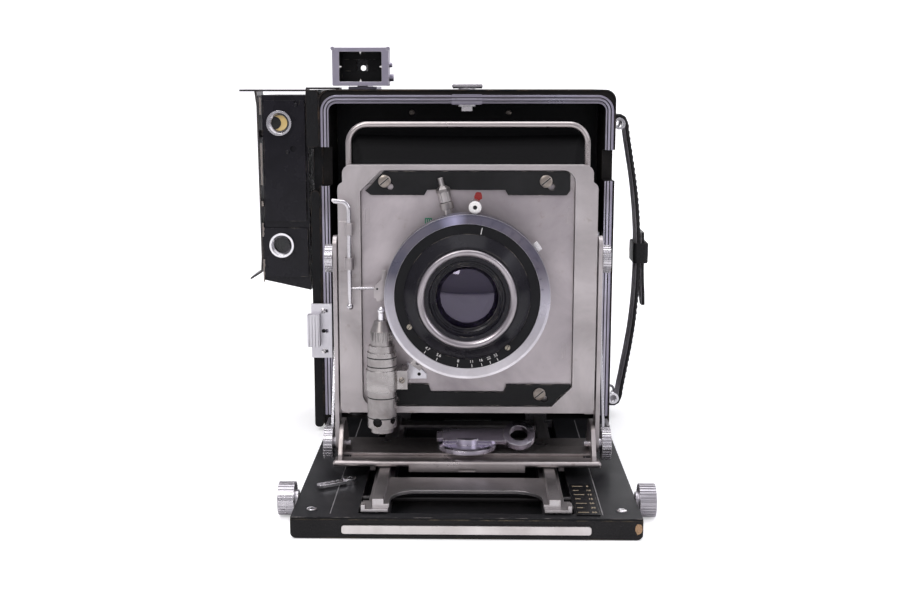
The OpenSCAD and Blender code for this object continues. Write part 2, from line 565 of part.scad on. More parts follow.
// Clamp disc and finger lever that lock the standard to the rails
module clamp_lever() color("#8f8aa0") translate([0, -141, 0]) {
  zcyl(3, 13.9, 20.6);
  zcyl(9, 13.7, 14.9);
  zcyl(9, 19.2, 20.6);
  zcyl(14.3, 20.5, 22.4);
  translate([0, 0, 22.4]) cylinder(r1 = 14.3, r2 = 13, h = 0.7);
  zcyl(6.5, 22, 26);
  translate([0, 0, 26.4]) rotate([35, 0, 0]) difference() {
    union() {
      bb([-12, -4.6, -1], [20, 3.4, 1.6]);
      bb([-15, -3, -1], [-11.9, 2, 1.2]);
      translate([25.6, 0, 0]) zcyl(7.8, -1.4, 2.2);
    }
    translate([25.6, 0, 0]) zcyl(4.6, -3, 4);
  }
}
module shift_carrier() color("#a6a1a8") difference() {
  union() {
    bb([-62.6, -146, 17.6], [62.6, -131, 18.8]);
    for (s = [-1, 1]) yz(s > 0 ? 60.6 : -62.6, s > 0 ? 62.6 : -60.6) polygon([[-156, 17.6], [-155, 20.5], [-147, 31], [-144, 33], [-132, 33], [-129, 31], [-123, 22], [-122, 17.6]]);
  }
  translate([0, -138, tilt_z]) xcyl(1.56, -70, 70);
  bb([-12.2, -144.2, 17], [12.2, -137.8, 19]);
}
module tilt_knob(s) color("#c4c0c8") translate([0, -138, tilt_z]) {
  xcyl(1.5, s > 0 ? 58 : -67, s > 0 ? 67 : -58);
  xcyl(3, s > 0 ? 64.9 : -66.6, s > 0 ? 66.6 : -64.9);
  knurl_x(tilt_knob_r, s > 0 ? 66.5 : -71, s > 0 ? 71 : -66.5, 30);
}
module tilt_knob_left() tilt_knob(-1);
module tilt_knob_right() tilt_knob(1);
module standard_yoke() color("#b5b0b6") for (s = [-1, 1]) difference() {
  union() {
    yz(s > 0 ? arm_x : -arm_x - 2, s > 0 ? arm_x + 2 : -arm_x) translate([-140, 72.2]) rr(11, 107.6, 5);
    // inward flange behind the slides
    bb([s > 0 ? 58.4 : -arm_x - 2, -134.9, 36], [s > 0 ? arm_x + 2 : -58.4, -133.7, 118]);
  }
  translate([0, -138, tilt_z]) xcyl(1.56, -70, 70);
  translate([0, -140.2, rise_knob_z]) xcyl(1.56, -70, 70);
}
module rise_knob(s) color("#c4c0c8") translate([0, -140.2, rise_knob_z]) {
  xcyl(1.5, s > 0 ? 60 : -66, s > 0 ? 66 : -60);
  knurl_x(rise_knob_r, s > 0 ? 64.9 : -68.7, s > 0 ? 68.7 : -64.9, 26);
}
module rise_knob_left() rise_knob(-1);
module rise_knob_right() rise_knob(1);
module frame_outline() {
  translate([0, (frame_z0 + 152) / 2]) rr(2 * frame_hw, 152 - frame_z0, 3);
  translate([0, (frame_z0 + frame_z1) / 2]) rr(2 * frame_hw - 4.6, frame_z1 - frame_z0, 4);
}
// Opening for the board with two cut corners
module board_opening(g) intersection() {
  polygon([[-51 - g, 42.8 - g], [41, 42.8 - g], [51 + g, 52.8], [51 + g, 157.8 + g], [-41, 157.8 + g], [-51 - g, 147.8]]);
  translate([0, 100.3]) rr(102 + 2 * g, 115 + 2 * g, 6 + g);
}
module lens_frame() color("#b9b3b4") difference() {
  union() {
    xz(std_y, rear_y) frame_outline();
    // side slides
    for (s = [-1, 1]) bb([s > 0 ? 58.6 : -62.6, rear_y - 1, 60], [s > 0 ? 62.6 : -58.6, rear_y + 6, 126]);
    // guides for the wire finder
    for (s = [-1, 1], z = [128, 140]) bb([s > 0 ? 54.8 : -58.5, rear_y - 1, z], [s > 0 ? 58.5 : -54.8, rear_y + 5, z + 6]);
    // bracket that carries the release rod
    bb([-61.6, std_y - 1.3, 110], [-57.4, std_y + 0.5, 133.5]);
    for (z = [111, 127.5]) { translate([-56, -152, 0]) zcyl(2.1, z, z + 5.6); bb([-58.4, -152, z], [-56.9, std_y + 0.5, z + 5.6]); }
  }
  xz(std_y - 1, std_y + 4.2) board_opening(0);
  // the lower lock slides in under this edge
  xz(std_y + 0.8, std_y + 2) polygon([[-43.2, 40.3], [47, 40.3], [56, 49], [56, 54], [-43.2, 54]]);
  translate([0, 0, lens_z]) xz(std_y - 1, rear_y + 1) rr(94, 94, 3);
  for (s = [-1, 1]) translate([s * (wire_hw - wire_r), rear_y + 2.1, 0]) zcyl(wire_r + 0.06, 50, 170);
  translate([-56, -152, 0]) zcyl(1.16, 100, 150);
  // rise slots
  for (s = [-1, 1]) bb([s > 0 ? 58 : -63, -141.8, rise_knob_z - 20.8], [s > 0 ? 63 : -58, -138.6, rise_knob_z + 1.7]);
}
module wire_finder() color("silver") {
  r = 9;
  for (s = [-1, 1]) {
    translate([s * (wire_hw - wire_r), rear_y + 2.1, 0]) zcyl(wire_r, 66, wire_top - wire_r - r);
    translate([s * (wire_hw - wire_r - r), rear_y + 2.1, wire_top - wire_r - r]) rotate([90, 0, 0]) rotate([0, 0, s > 0 ? 0 : 90]) rotate_extrude(angle = 90) translate([r, 0]) circle(wire_r);
  }
  translate([0, rear_y + 2.1, wire_top - wire_r]) xcyl(wire_r, -wire_hw + wire_r + r, wire_hw - wire_r - r);
}
module lens_board() color("#b4aeb4") difference() {
  xz(std_y + 2.1, std_y + 4.1) intersection() {
    translate([0, lens_z]) rr(board_w - 0.2, board_w - 0.6, 5);
    board_opening(-0.12);
  }
  translate([0, 0, lens_z]) ycyl(25.1, std_y - 2, std_y + 8);
  // small pressed corner marks
  for (p = [[-47.9, 136], [48.3, 136.3], [47, 70.2]]) bb([p[0] - 0.85, std_y + 1, p[1] - 3.7], [p[0] + 0.85, std_y + 2.35, p[1] + 3.7]);
}
module lock_slot(x, z) translate([x, 0, z]) rotate([0, 45, 0]) { bb([-2.4, -200, -1.5], [2.4, -100, 1.5]); for (s = [-1, 1]) translate([s * 2.4, 0, 0]) ycyl(1.5, -200, -100); }
// Lower retaining slide of the lens board
module board_lock() color("#1b1b1d") difference() {
  xz(std_y + 0.85, std_y + 1.95) polygon([[-43, 43.2], [40.6, 43.2], [50.5, 53], [50.3, 53.8], [19, 53.8], [17.6, 49.8], [-17.6, 49.8], [-19, 53.8], [-43, 53.8]]);
  lock_slot(36, 48.2);
  lock_slot(-36.5, 47.7);
}
// Shutter case, with the upper board catch screws and the flash post
module shutter_body() color("#1c1c1f") translate([0, 0, lens_z]) difference() {
  union() {
    ycyl(case_r, shutter_y, std_y + 2.05);
    ycyl(25, std_y + 2, rear_y + 3);
    ycyl(30, rear_y - 1.85, rear_y + 1.5);
    // flash contact post on a lug of the case, behind the lever bands
    translate([3.5, 0, 41.5]) ycyl(2.2, -163, std_y + 2.05);
    translate([3.5, 0, 41.5]) ycyl(2.85, -165.5, -160);
    bb([1.5, -153.1, case_r - 1], [5.5, std_y + 2.05, 41.5]);
    // cable release socket, screwed radially into the case
    rotate([0, -13.5, 0]) translate([0, -151.2, 0]) {
      zcyl(1.9, 31, 45);
      zcyl(2.9, 44, 49);
      translate([0, 0, 49]) cylinder(r1 = 2.9, r2 = 1.4, h = 2);
      zcyl(1.2, 50.5, 55.5);
    }
  }
  ycyl(20, shutter_y - 1, shutter_y + 12);
  ycyl(17, shutter_y - 1, rear_y + 4);
  // groove bands that the levers turn in
  for (y = [-157.9, -155.4]) difference() { ycyl(case_r + 1, y, y + 2); ycyl(case_r - 1.6, y - 1, y + 3); }
}
module speed_ring() color("#b9b6c4") translate([0, 0, lens_z]) difference() {
  ycyl(ring_r, shutter_y - 1.2, -158.2);
  ycyl(case_r + 0.05, shutter_y - 2, -150);
  ycone(ring_r - 0.8, case_r, shutter_y - 1.3, shutter_y - 0.2);
}
// Band with a pointer arm that turns round the shutter case
module band(y, a, r1, w) xz(y + 0.1, y + 1.9) difference() {
  union() {
    circle(case_r + 1.6);
    rotate(-a) translate([-w / 2, case_r - 0.4]) square([w, r1 - case_r + 0.4]);
  }
  circle(case_r - 1.54);
}
module aperture_lever() color("silver") translate([0, 0, lens_z]) difference() {
  union() {
    band(-157.9, 215, 41, 6);
    rotate([0, 215, 0]) bb([-3, -157.8, 39], [3, -156, 43.5]);
  }
  rotate([0, 215, 0]) translate([0, 0, 41]) ycyl(1, -160, -150);
}
module cocking_lever() color("silver") translate([0, 0, lens_z]) band(-155.4, 56, 40.9, 4.4);
module lens_barrel() color("#141416") translate([0, 0, lens_z]) difference() {
  union() {
    ycyl(19.9, shutter_y - 0.2, shutter_y + 10);
    ycone(24, 29.5, shutter_y - 5, shutter_y - 0.05);
    difference() { ycyl(rim_r, -174, shutter_y - 3); ycyl(rim_r - 1.4, -175, -173); }
  }
  ycone(18.8, glass_r, -176, shutter_y - 1.5);
  ycyl(14.5, -178, -150);
}
module lens_glass() color("#241a30") translate([0, 0, lens_z]) {
  intersection() {
    ycyl(14.4, -172, -160);
    translate([0, -140, 0]) sphere(31);
  }
  ycyl(16.9, rear_y - 4, rear_y + 1);
}
module iris_blades() color("#2c2c30") translate([0, 0, lens_z]) for (i = [0:9]) rotate([0, i * 36, 0]) bb([11.2, -154.2 + i * 0.35, -4], [15.4, -153.95 + i * 0.35, 4]);

// ---------- release gear on the board ----------
module solenoid() color("#bcb8b6") translate([can_x, -160, 0]) difference() {
  union() {
    zcyl(can_r, 36.5, 73);
    translate([0, 0, 36.6]) zcyl(can_r - 1.6, -2.6, 0.1);
    zcyl(6.2, 73, 76.2);
    zcyl(5.2, 76.1, 78.4);
    difference() {
      union() { zcyl(5.2, 78.3, 83); translate([0, 0, 83]) cylinder(r1 = 5.2, r2 = 3.2, h = 5); }
      for (i = [0:17]) rotate([0, 0, i * 20]) bb([4.85, -0.3, 78], [7, 0.3, 83]);
    }
    // strap clamp and foot to the board
    zcyl(can_r + 0.7, 54.5, 64.5);
    bb([5, -1.8, 55], [12.2, 1.8, 64]);
    bb([8.6, -1.8, 55.5], [12.2, 14.85, 63.5]);
  }
  zcyl(1.6, 60, 92);
  translate([-1.8, 0, 39.8]) ycyl(2.2, -9, -1);
  rotate([0, 0, 52]) translate([0, 0, 40.4]) ycyl(1.8, -9, -3);
}
module solenoid_plunger() color("silver") translate([can_x, -160, 0]) { zcyl(1.5, 62, 92); translate([0, 0, 92.8]) sphere(1.9); }
// Vertical release rod in its bracket, with a finger hook and a trip arm
module release_rod() color("#b9b5ba") translate([-56, -152, 0]) {
  zcyl(1.1, 93, 140.8);
  translate([0, 0, 140.8]) sphere(1.1);
  translate([0, 0, 140.8]) rotate([0, -72, 0]) zcyl(1.1, 0, 7.5);
  translate([0, 0, 102]) xcyl(0.8, 0, 15.4);
  bb([13.8, -1, 96.5], [15.4, 1, 111]);
  translate([0, 0, 93.2]) zcyl(1.7, -1.5, 1.5);
}
// Upper retaining bar of the lens board, with its screws
module board_catch() color("#1b1b1d") difference() {
  xz(std_y + 0.85, std_y + 1.95) polygon([[-39.8, 157.2], [47.6, 157.2], [48.6, 156], [48.6, 148], [47, 145.9], [19.2, 145.9], [17.8, 148.4], [-19.2, 148.4], [-20.6, 145.9], [-46, 145.9], [-48.6, 148]]);
  lock_slot(-38.5, 151.6);
  lock_slot(38, 151.6);
}

body_shell();
body_leather();
front_trim();
bed_release_button();
release_cover();
release_plate();
release_slider();
body_rails();
bellows();
bellows_frame();
hinge_pin();
tripod_socket();
rangefinder_housing();
rangefinder_windows();
rangefinder_lever();
flash_bracket();
finder_body();
finder_glasses();
finder_eyepiece();
strap_lugs();
strap();
back_frame();
focusing_panel();
ground_glass();
panel_springs();
focusing_hood();
peep_sight();
bed_panel();
bed_covering();
bed_front_strip();
bed_tracks();
distance_scale();
focus_lock_lever();
brace_left();
brace_right();
focus_rails();
focus_knobs();
standard_base();
clamp_lever();
shift_carrier();
tilt_knob_left();
tilt_knob_right();
standard_yoke();
rise_knob_left();
rise_knob_right();
lens_frame();
wire_finder();
lens_board();
board_catch();
board_lock();
shutter_body();
speed_ring();
aperture_lever();
cocking_lever();
lens_barrel();
lens_glass();
iris_blades();
solenoid();
solenoid_plunger();
release_rod();
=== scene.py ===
import bpy, bmesh, math, random
from mathutils import Vector, Matrix, noise


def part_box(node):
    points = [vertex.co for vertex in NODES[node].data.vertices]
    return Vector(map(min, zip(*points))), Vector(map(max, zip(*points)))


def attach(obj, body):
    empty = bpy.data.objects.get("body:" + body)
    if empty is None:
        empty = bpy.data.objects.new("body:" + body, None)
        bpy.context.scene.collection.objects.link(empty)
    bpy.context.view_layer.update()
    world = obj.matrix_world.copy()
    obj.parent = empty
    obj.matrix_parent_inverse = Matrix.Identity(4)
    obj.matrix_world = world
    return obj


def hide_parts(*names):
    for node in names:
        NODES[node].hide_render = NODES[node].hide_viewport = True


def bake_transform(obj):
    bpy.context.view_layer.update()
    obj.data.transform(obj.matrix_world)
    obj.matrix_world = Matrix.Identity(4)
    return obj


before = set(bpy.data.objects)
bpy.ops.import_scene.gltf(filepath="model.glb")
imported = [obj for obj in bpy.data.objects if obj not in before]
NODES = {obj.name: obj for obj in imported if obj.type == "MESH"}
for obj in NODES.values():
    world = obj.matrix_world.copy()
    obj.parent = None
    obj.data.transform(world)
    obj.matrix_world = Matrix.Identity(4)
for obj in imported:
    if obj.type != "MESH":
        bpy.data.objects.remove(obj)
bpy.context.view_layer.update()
BOX = {n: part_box(n) for n in NODES}
MM = 0.001
random.seed(7)


# ------------------------------------------------------------------ materials
class Mat:
    """A small builder round a Principled material; coordinates are metres in the part's frame."""

    def __init__(self, name):
        self.m = bpy.data.materials.new(name)
        self.m.use_nodes = True
        self.t = self.m.node_tree
        self.t.nodes.clear()
        self.out = self.t.nodes.new("ShaderNodeOutputMaterial")
        self.b = self.t.nodes.new("ShaderNodeBsdfPrincipled")
        self.t.links.new(self.b.outputs["BSDF"], self.out.inputs["Surface"])
        self.co = self.t.nodes.new("ShaderNodeTexCoord").outputs["Object"]
        self.geo = self.t.nodes.new("ShaderNodeNewGeometry")

    def put(self, sock, v):
        if isinstance(v, bpy.types.NodeSocket):
            self.t.links.new(v, sock)
        elif isinstance(v, (tuple, list)) and len(v) == 3 and sock.type == "RGBA":
            sock.default_value = (*v, 1)
        else:
            sock.default_value = v

    def set(self, **kw):
        for k, v in kw.items():
            self.put(self.b.inputs[k.replace("_", " ")], v)
        return self

    def scaled(self, sx, sy, sz):
        n = self.t.nodes.new("ShaderNodeVectorMath")
        n.operation = "MULTIPLY"
        self.t.links.new(self.co, n.inputs[0])
        n.inputs[1].default_value = (sx, sy, sz)
        return n.outputs[0]

    def noise(self, scale, detail=4, rough=0.55, dist=0.0, vec=None):
        n = self.t.nodes.new("ShaderNodeTexNoise")
        self.put(n.inputs["Vector"], vec or self.co)
        n.inputs["Scale"].default_value = scale
        n.inputs["Detail"].default_value = detail
        n.inputs["Roughness"].default_value = rough
        n.inputs["Distortion"].default_value = dist
        return n.outputs["Fac"]

    def noisevec(self, scale, amount, vec=None):
        n = self.t.nodes.new("ShaderNodeTexNoise")
        self.put(n.inputs["Vector"], vec or self.co)
        n.inputs["Scale"].default_value = scale
        n.inputs["Detail"].default_value = 2
        s = self.t.nodes.new("ShaderNodeVectorMath"); s.operation = "SUBTRACT"
        self.put(s.inputs[0], n.outputs["Color"]); s.inputs[1].default_value = (0.5, 0.5, 0.5)
        m = self.t.nodes.new("ShaderNodeVectorMath"); m.operation = "SCALE"
        self.put(m.inputs[0], s.outputs[0]); m.inputs["Scale"].default_value = amount
        a = self.t.nodes.new("ShaderNodeVectorMath"); a.operation = "ADD"
        self.put(a.inputs[0], vec or self.co); self.put(a.inputs[1], m.outputs[0])
        return a.outputs[0]

    def voronoi(self, scale, feature="F1", vec=None, rand=1.0):
        n = self.t.nodes.new("ShaderNodeTexVoronoi")
        n.feature = feature
        self.put(n.inputs["Vector"], vec or self.co)
        n.inputs["Scale"].default_value = scale
        n.inputs["Randomness"].default_value = rand
        return n.outputs["Distance"]

    def ramp(self, fac, stops, interp="LINEAR"):
        n = self.t.nodes.new("ShaderNodeValToRGB")
        n.color_ramp.interpolation = interp
        e = n.color_ramp.elements
        while len(e) < len(stops):
            e.new(0.5)
        for i, (p, c) in enumerate(stops):
            e[i].position = p
            if isinstance(c, (int, float)):
                c = (c, c, c)
            e[i].color = (*c[:3], 1)
        self.put(n.inputs["Fac"], fac)
        return n.outputs["Color"]

    def maprange(self, v, a, b, c, d, clamp=True):
        n = self.t.nodes.new("ShaderNodeMapRange")
        n.clamp = clamp
        self.put(n.inputs["Value"], v)
        for k, x in zip(("From Min", "From Max", "To Min", "To Max"), (a, b, c, d)):
            self.put(n.inputs[k], x)
        return n.outputs["Result"]

    def math(self, op, a, b=0.0, clamp=False):
        n = self.t.nodes.new("ShaderNodeMath")
        n.operation = op
        n.use_clamp = clamp
        self.put(n.inputs[0], a)
        self.put(n.inputs[1], b)
        return n.outputs[0]

    def mix(self, fac, a, b):
        n = self.t.nodes.new("ShaderNodeMix")
        n.data_type = "RGBA"
        self.put(n.inputs[0], fac)
        self.put(n.inputs[6], a)
        self.put(n.inputs[7], b)
        return n.outputs[2]

    def bevel(self, r, samples=3):
        n = self.t.nodes.new("ShaderNodeBevel")
        n.samples = samples
        n.inputs["Radius"].default_value = r
        return n.outputs["Normal"]

    def edge(self, r):
        """1 near sharp edges, 0 on flats."""
        n = self.t.nodes.new("ShaderNodeVectorMath")
        n.operation = "DOT_PRODUCT"
        self.put(n.inputs[0], self.bevel(r, 4))
        self.put(n.inputs[1], self.geo.outputs["Normal"])
        return self.maprange(n.outputs["Value"], 0.995, 0.80, 0.0, 1.0)

    def bump(self, h, strength=0.4, dist=0.0002, normal=None):
        n = self.t.nodes.new("ShaderNodeBump")
        n.inputs["Strength"].default_value = strength
        n.inputs["Distance"].default_value = dist
        self.put(n.inputs["Height"], h)
        if normal is not None:
            self.put(n.inputs["Normal"], normal)
        return n.outputs["Normal"]

    def sep(self, vec=None):
        n = self.t.nodes.new("ShaderNodeSeparateXYZ")
        self.put(n.inputs[0], vec or self.co)
        return n.outputs


def leather(name, base=(0.0085, 0.0085, 0.0095), grain=1.15, depth=0.16, rough=0.52, wear=0.6, worn=(0.16, 0.10, 0.06), bev=0.5):
    M = Mat(name)
    w = M.noisevec(420, 0.0007)
    cell = M.voronoi(1000 / grain, "DISTANCE_TO_EDGE", w)
    cells = M.maprange(cell, 0.02, 0.32, 0, 1)
    fine = M.noise(2600, 3)
    big = M.noise(24, 3)
    h = M.math("ADD", cells, M.math("MULTIPLY", fine, 0.35))
    n = M.bump(h, 0.75, depth * MM, M.bevel(bev * MM))
    e = M.math("MULTIPLY", M.edge(0.9 * MM), M.maprange(M.noise(130, 5), 0.42, 0.68, 0, 1))
    e = M.math("MULTIPLY", e, wear)
    c = M.mix(M.maprange(big, 0.3, 0.7, 0, 0.55), base, tuple(min(1, x * 1.9 + 0.004) for x in base))
    c = M.mix(M.maprange(cell, 0.0, 0.10, 0.55, 0), c, tuple(x * 0.35 for x in base))
    c = M.mix(e, c, worn)
    r = M.math("ADD", M.maprange(fine, 0.3, 0.7, rough - 0.1, rough + 0.1), M.math("MULTIPLY", e, 0.2))
    M.set(Base_Color=c, Roughness=r, Normal=n, Specular_IOR_Level=0.17)
    return M.m


def metal(name, c0=(0.62, 0.59, 0.57), c1=(0.50, 0.47, 0.46), rough=0.34, spread=0.12, brush=None, stain=0.4, edge_dark=0.0,
          scratch=0.25, bev=0.25, metallic=1.0, stain_c=(0.25, 0.2, 0.17), edge_highlight=0.25, blotch=34):
    M = Mat(name)
    cloud = M.noise(blotch, 5, 0.6, 0.6)
    fine = M.noise(700, 3)
    c = M.mix(M.maprange(cloud, 0.32, 0.68, 0, 1), c0, c1)
    spots = M.maprange(M.noise(190, 6, 0.65, 0.3), 0.60, 0.74, 0, 1)
    spots = M.math("MULTIPLY", spots, M.maprange(M.noise(30, 2), 0.42, 0.62, 0, stain))
    c = M.mix(spots, c, stain_c)
    # painted highlight: edges are mixed toward near-white, standing in for light caught along them
    ed = M.edge(0.7 * MM)
    c = M.mix(M.math("MULTIPLY", ed, edge_highlight), c, (0.93, 0.91, 0.90))
    if edge_dark:
        c = M.mix(M.math("MULTIPLY", M.math("MULTIPLY", M.edge(2.2 * MM), M.maprange(M.noise(90, 4), 0.4, 0.65, 0, 1)), edge_dark), c, stain_c)
    r = M.maprange(cloud, 0.3, 0.7, rough - spread / 2, rough + spread / 2)
    r = M.math("ADD", r, M.math("MULTIPLY", spots, 0.25))
    if brush:
        line = M.noise(1.0, 4, 0.6, 0, M.scaled(*brush))
    else:
        line = M.noise(1.0, 3, 0.5, 0, M.scaled(900, 900, 900))
    h = M.math("ADD", M.math("MULTIPLY", line, scratch), M.math("MULTIPLY", fine, 0.15))
    n = M.bump(h, 0.35, 0.06 * MM, M.bevel(bev * MM))
    M.set(Base_Color=c, Metallic=metallic, Roughness=r, Normal=n)
    return M.m


def chrome(name, tint=(0.86, 0.85, 0.87), rough=0.13, bev=0.3, pit=0.3):
    M = Mat(name)
    cloud = M.noise(60, 4)
    spots = M.math("MULTIPLY", M.maprange(M.noise(420, 5, 0.7), 0.62, 0.76, 0, 1), pit)
    c = M.mix(spots, tint, (0.33, 0.27, 0.23))
    r = M.math("ADD", M.maprange(cloud, 0.3, 0.7, rough - 0.04, rough + 0.07), M.math("MULTIPLY", spots, 0.4))
    n = M.bump(M.noise(520, 3), 0.12, 0.05 * MM, M.bevel(bev * MM))
    M.set(Base_Color=c, Metallic=1.0, Roughness=r, Normal=n)
    return M.m


def paint(name, base=(0.0052, 0.0052, 0.006), rough=0.36, wear=0.5, under=(0.50, 0.44, 0.36), bev=0.35, grit=0.3, blotch=60, coat=0.0):
    M = Mat(name)
    fine = M.noise(1500, 3)
    dust = M.maprange(M.noise(900, 6, 0.75), 0.66, 0.80, 0, 0.30)
    big = M.noise(blotch, 4)
    ed = M.math("MULTIPLY", M.edge(0.5 * MM), M.maprange(M.noise(170, 5), 0.50, 0.66, 0, wear))
    c = M.mix(M.maprange(big, 0.3, 0.7, 0, 1), base, tuple(x * 1.8 for x in base))
    c = M.mix(dust, c, (0.07, 0.065, 0.065))
    c = M.mix(ed, c, under)
    n = M.bump(fine, grit, 0.08 * MM, M.bevel(bev * MM))
    r = M.math("ADD", M.maprange(big, 0.3, 0.7, rough - 0.06, rough + 0.10), M.math("MULTIPLY", dust, 0.6))
    M.set(Base_Color=c, Metallic=M.math("MULTIPLY", ed, 0.9), Roughness=r, Normal=n, Coat_Weight=coat, Coat_Roughness=0.12, Specular_IOR_Level=0.15)
    return M.m


def cloth_black(name):
    M = Mat(name)
    a = M.noise(1.0, 2, 0.5, 0, M.scaled(3200, 900, 900))
    b = M.noise(1.0, 2, 0.5, 0, M.scaled(900, 900, 3200))
    h = M.math("ADD", a, b)
    big = M.noise(40, 4)
    c = M.mix(M.maprange(big, 0.3, 0.7, 0, 1), (0.003, 0.003, 0.0034), (0.008, 0.0078, 0.0086))
    M.set(Base_Color=c, Roughness=M.maprange(big, 0.3, 0.7, 0.62, 0.8), Normal=M.bump(h, 0.5, 0.12 * MM), Sheen_Weight=0.05, Sheen_Roughness=0.5, Specular_IOR_Level=0.12)
    return M.m


def wood_dark(name):
    M = Mat(name)
    g = M.noise(1.0, 5, 0.6, 0.4, M.scaled(40, 14, 260))
    c = M.mix(M.maprange(g, 0.3, 0.7, 0, 1), (0.006, 0.0055, 0.0055), (0.015, 0.013, 0.012))
    M.set(Base_Color=c, Roughness=M.maprange(g, 0.3, 0.7, 0.45, 0.62), Normal=M.bump(g, 0.25, 0.1 * MM, M.bevel(0.5 * MM)), Specular_IOR_Level=0.15)
    return M.m


def glass_lens(name, tint=(0.05, 0.02, 0.11)):
    M = Mat(name)
    lw = M.t.nodes.new("ShaderNodeLayerWeight")
    lw.inputs["Blend"].default_value = 0.35
    smear = M.noise(120, 5, 0.6, 0.5)
    # painted reflection: the base colour runs from near-black face-on to pale violet at grazing angles
    c = M.ramp(lw.outputs["Facing"], [(0.0, (0.003, 0.002, 0.007)), (0.35, (0.008, 0.004, 0.018)), (0.7, (0.04, 0.02, 0.07)), (1.0, (0.20, 0.16, 0.28))])
    M.set(Base_Color=c, Roughness=M.maprange(smear, 0.35, 0.7, 0.02, 0.09), Metallic=0.0, IOR=1.62, Specular_IOR_Level=0.9,
          Coat_Weight=1.0, Coat_Roughness=0.015, Coat_IOR=1.7, Coat_Tint=(0.62, 0.50, 0.85), Alpha=0.55)
    M.m.surface_render_method = "BLENDED"
    return M.m


def glass_clear(name, c=(0.7, 0.72, 0.78), alpha=0.3, rough=0.03):
    M = Mat(name)
    s = M.noise(140, 5, 0.6, 0.4)
    M.set(Base_Color=M.mix(s, c, tuple(x * 0.8 for x in c)), Roughness=M.maprange(s, 0.35, 0.7, rough, rough + 0.12), IOR=1.52, Alpha=alpha, Coat_Weight=0.6)
    M.m.surface_render_method = "BLENDED"
    return M.m


def axis_polar(M):
    """Distance from the lens axis and angle clockwise from the top (0 to 1) at each point."""
    c = (BOX["speed_ring"][0] + BOX["speed_ring"][1]) / 2
    q = M.sep()
    dx, dz = M.math("SUBTRACT", q[0], c.x), M.math("SUBTRACT", q[2], c.z)
    r = M.math("SQRT", M.math("ADD", M.math("MULTIPLY", dx, dx), M.math("MULTIPLY", dz, dz)))
    a = M.math("ARCTAN2", dx, dz)
    return r, M.math("FRACT", M.math("ADD", M.math("DIVIDE", a, 2 * math.pi), 1.0))


def shutter_paint(name):
    """Black enamel on the case, bare nickel on the posts and socket that stand outside it."""
    M = Mat(name)
    r, _ = axis_polar(M)
    out = M.maprange(r, 0.0356, 0.0358, 0, 1)
    fine, big = M.noise(1500, 3), M.noise(60, 4)
    c = M.mix(M.maprange(big, 0.3, 0.7, 0, 1), (0.005, 0.005, 0.0058), (0.010, 0.010, 0.0115))
    c = M.mix(out, c, M.mix(M.maprange(big, 0.3, 0.7, 0, 1), (0.64, 0.61, 0.61), (0.44, 0.41, 0.40)))
    M.set(Base_Color=c, Metallic=out, Roughness=M.maprange(big, 0.3, 0.7, 0.28, 0.42),
          Normal=M.bump(fine, 0.25, 0.06 * MM, M.bevel(0.3 * MM)), Specular_IOR_Level=0.15)
    return M.m


def rim_bands(name):
    """Satin rim with near-black bands of painted shade in its grooves and pale bands of painted highlight along the
    ridges, following its rounded outline.
    """
    M = Mat(name)
    b = BOX["front_trim"]
    cx, hw, top, R = (b[0].x + b[1].x) / 2, (b[1].x - b[0].x) / 2, b[1].z, 9.0 * MM
    q = M.sep()
    qx = M.math("SUBTRACT", M.math("ABSOLUTE", M.math("SUBTRACT", q[0], cx)), hw - R)
    qz = M.math("SUBTRACT", q[2], top - R)
    px, pz = M.math("MAXIMUM", qx, 0.0), M.math("MAXIMUM", qz, 0.0)
    d = M.math("SQRT", M.math("ADD", M.math("MULTIPLY", px, px), M.math("MULTIPLY", pz, pz)))
    d = M.math("SUBTRACT", M.math("ADD", d, M.math("MINIMUM", M.math("MAXIMUM", qx, qz), 0.0)), R)
    t = M.maprange(M.math("MULTIPLY", d, -1.0), 0.0, 4.6 * MM, 0, 1)
    # painted shade and painted highlight: the near-black bands stand in for shade in the grooves, the pale bands just
    # inside them for light on the ridges
    tone_with_painted_light = M.ramp(t, [(0.0, (0.34, 0.32, 0.40)), (0.30, (0.46, 0.435, 0.53)), (0.34, (0.05, 0.047, 0.06)), (0.43, (0.05, 0.047, 0.06)), (0.47, (0.62, 0.60, 0.68)),
                      (0.70, (0.42, 0.40, 0.49)), (0.74, (0.05, 0.047, 0.06)), (0.81, (0.05, 0.047, 0.06)), (0.85, (0.60, 0.58, 0.66)), (1.0, (0.36, 0.34, 0.42))])
    cloud = M.noise(60, 5)
    c = M.mix(M.maprange(cloud, 0.35, 0.7, 0, 0.4), tone_with_painted_light, (0.20, 0.175, 0.19))
    M.set(Base_Color=c, Metallic=0.9, Roughness=M.maprange(cloud, 0.3, 0.7, 0.26, 0.38), Normal=M.bump(M.noise(500, 3), 0.2, 0.05 * MM, M.bevel(0.25 * MM)))
    return M.m


def knob_and_shaft(name):
    """Bright knurled ends, dark steel between them."""
    M = Mat(name)
    x = M.math("ABSOLUTE", M.sep()[0])
    out = M.maprange(x, 0.0776, 0.0780, 0, 1)
    cloud = M.noise(34, 5, 0.6, 0.6)
    c = M.mix(M.maprange(cloud, 0.32, 0.68, 0, 1), (0.62, 0.60, 0.63), (0.45, 0.43, 0.46))
    # painted highlight: edges mixed toward near-white
    c = M.mix(M.math("MULTIPLY", M.edge(0.5 * MM), 0.4), c, (0.9, 0.88, 0.9))
    c = M.mix(out, (0.03, 0.028, 0.028), c)
    M.set(Base_Color=c, Metallic=M.maprange(out, 0, 1, 0.5, 0.95), Roughness=M.maprange(cloud, 0.3, 0.7, 0.26, 0.36), Normal=M.bump(M.noise(700, 3), 0.2, 0.05 * MM, M.bevel(0.3 * MM)))
    return M.m


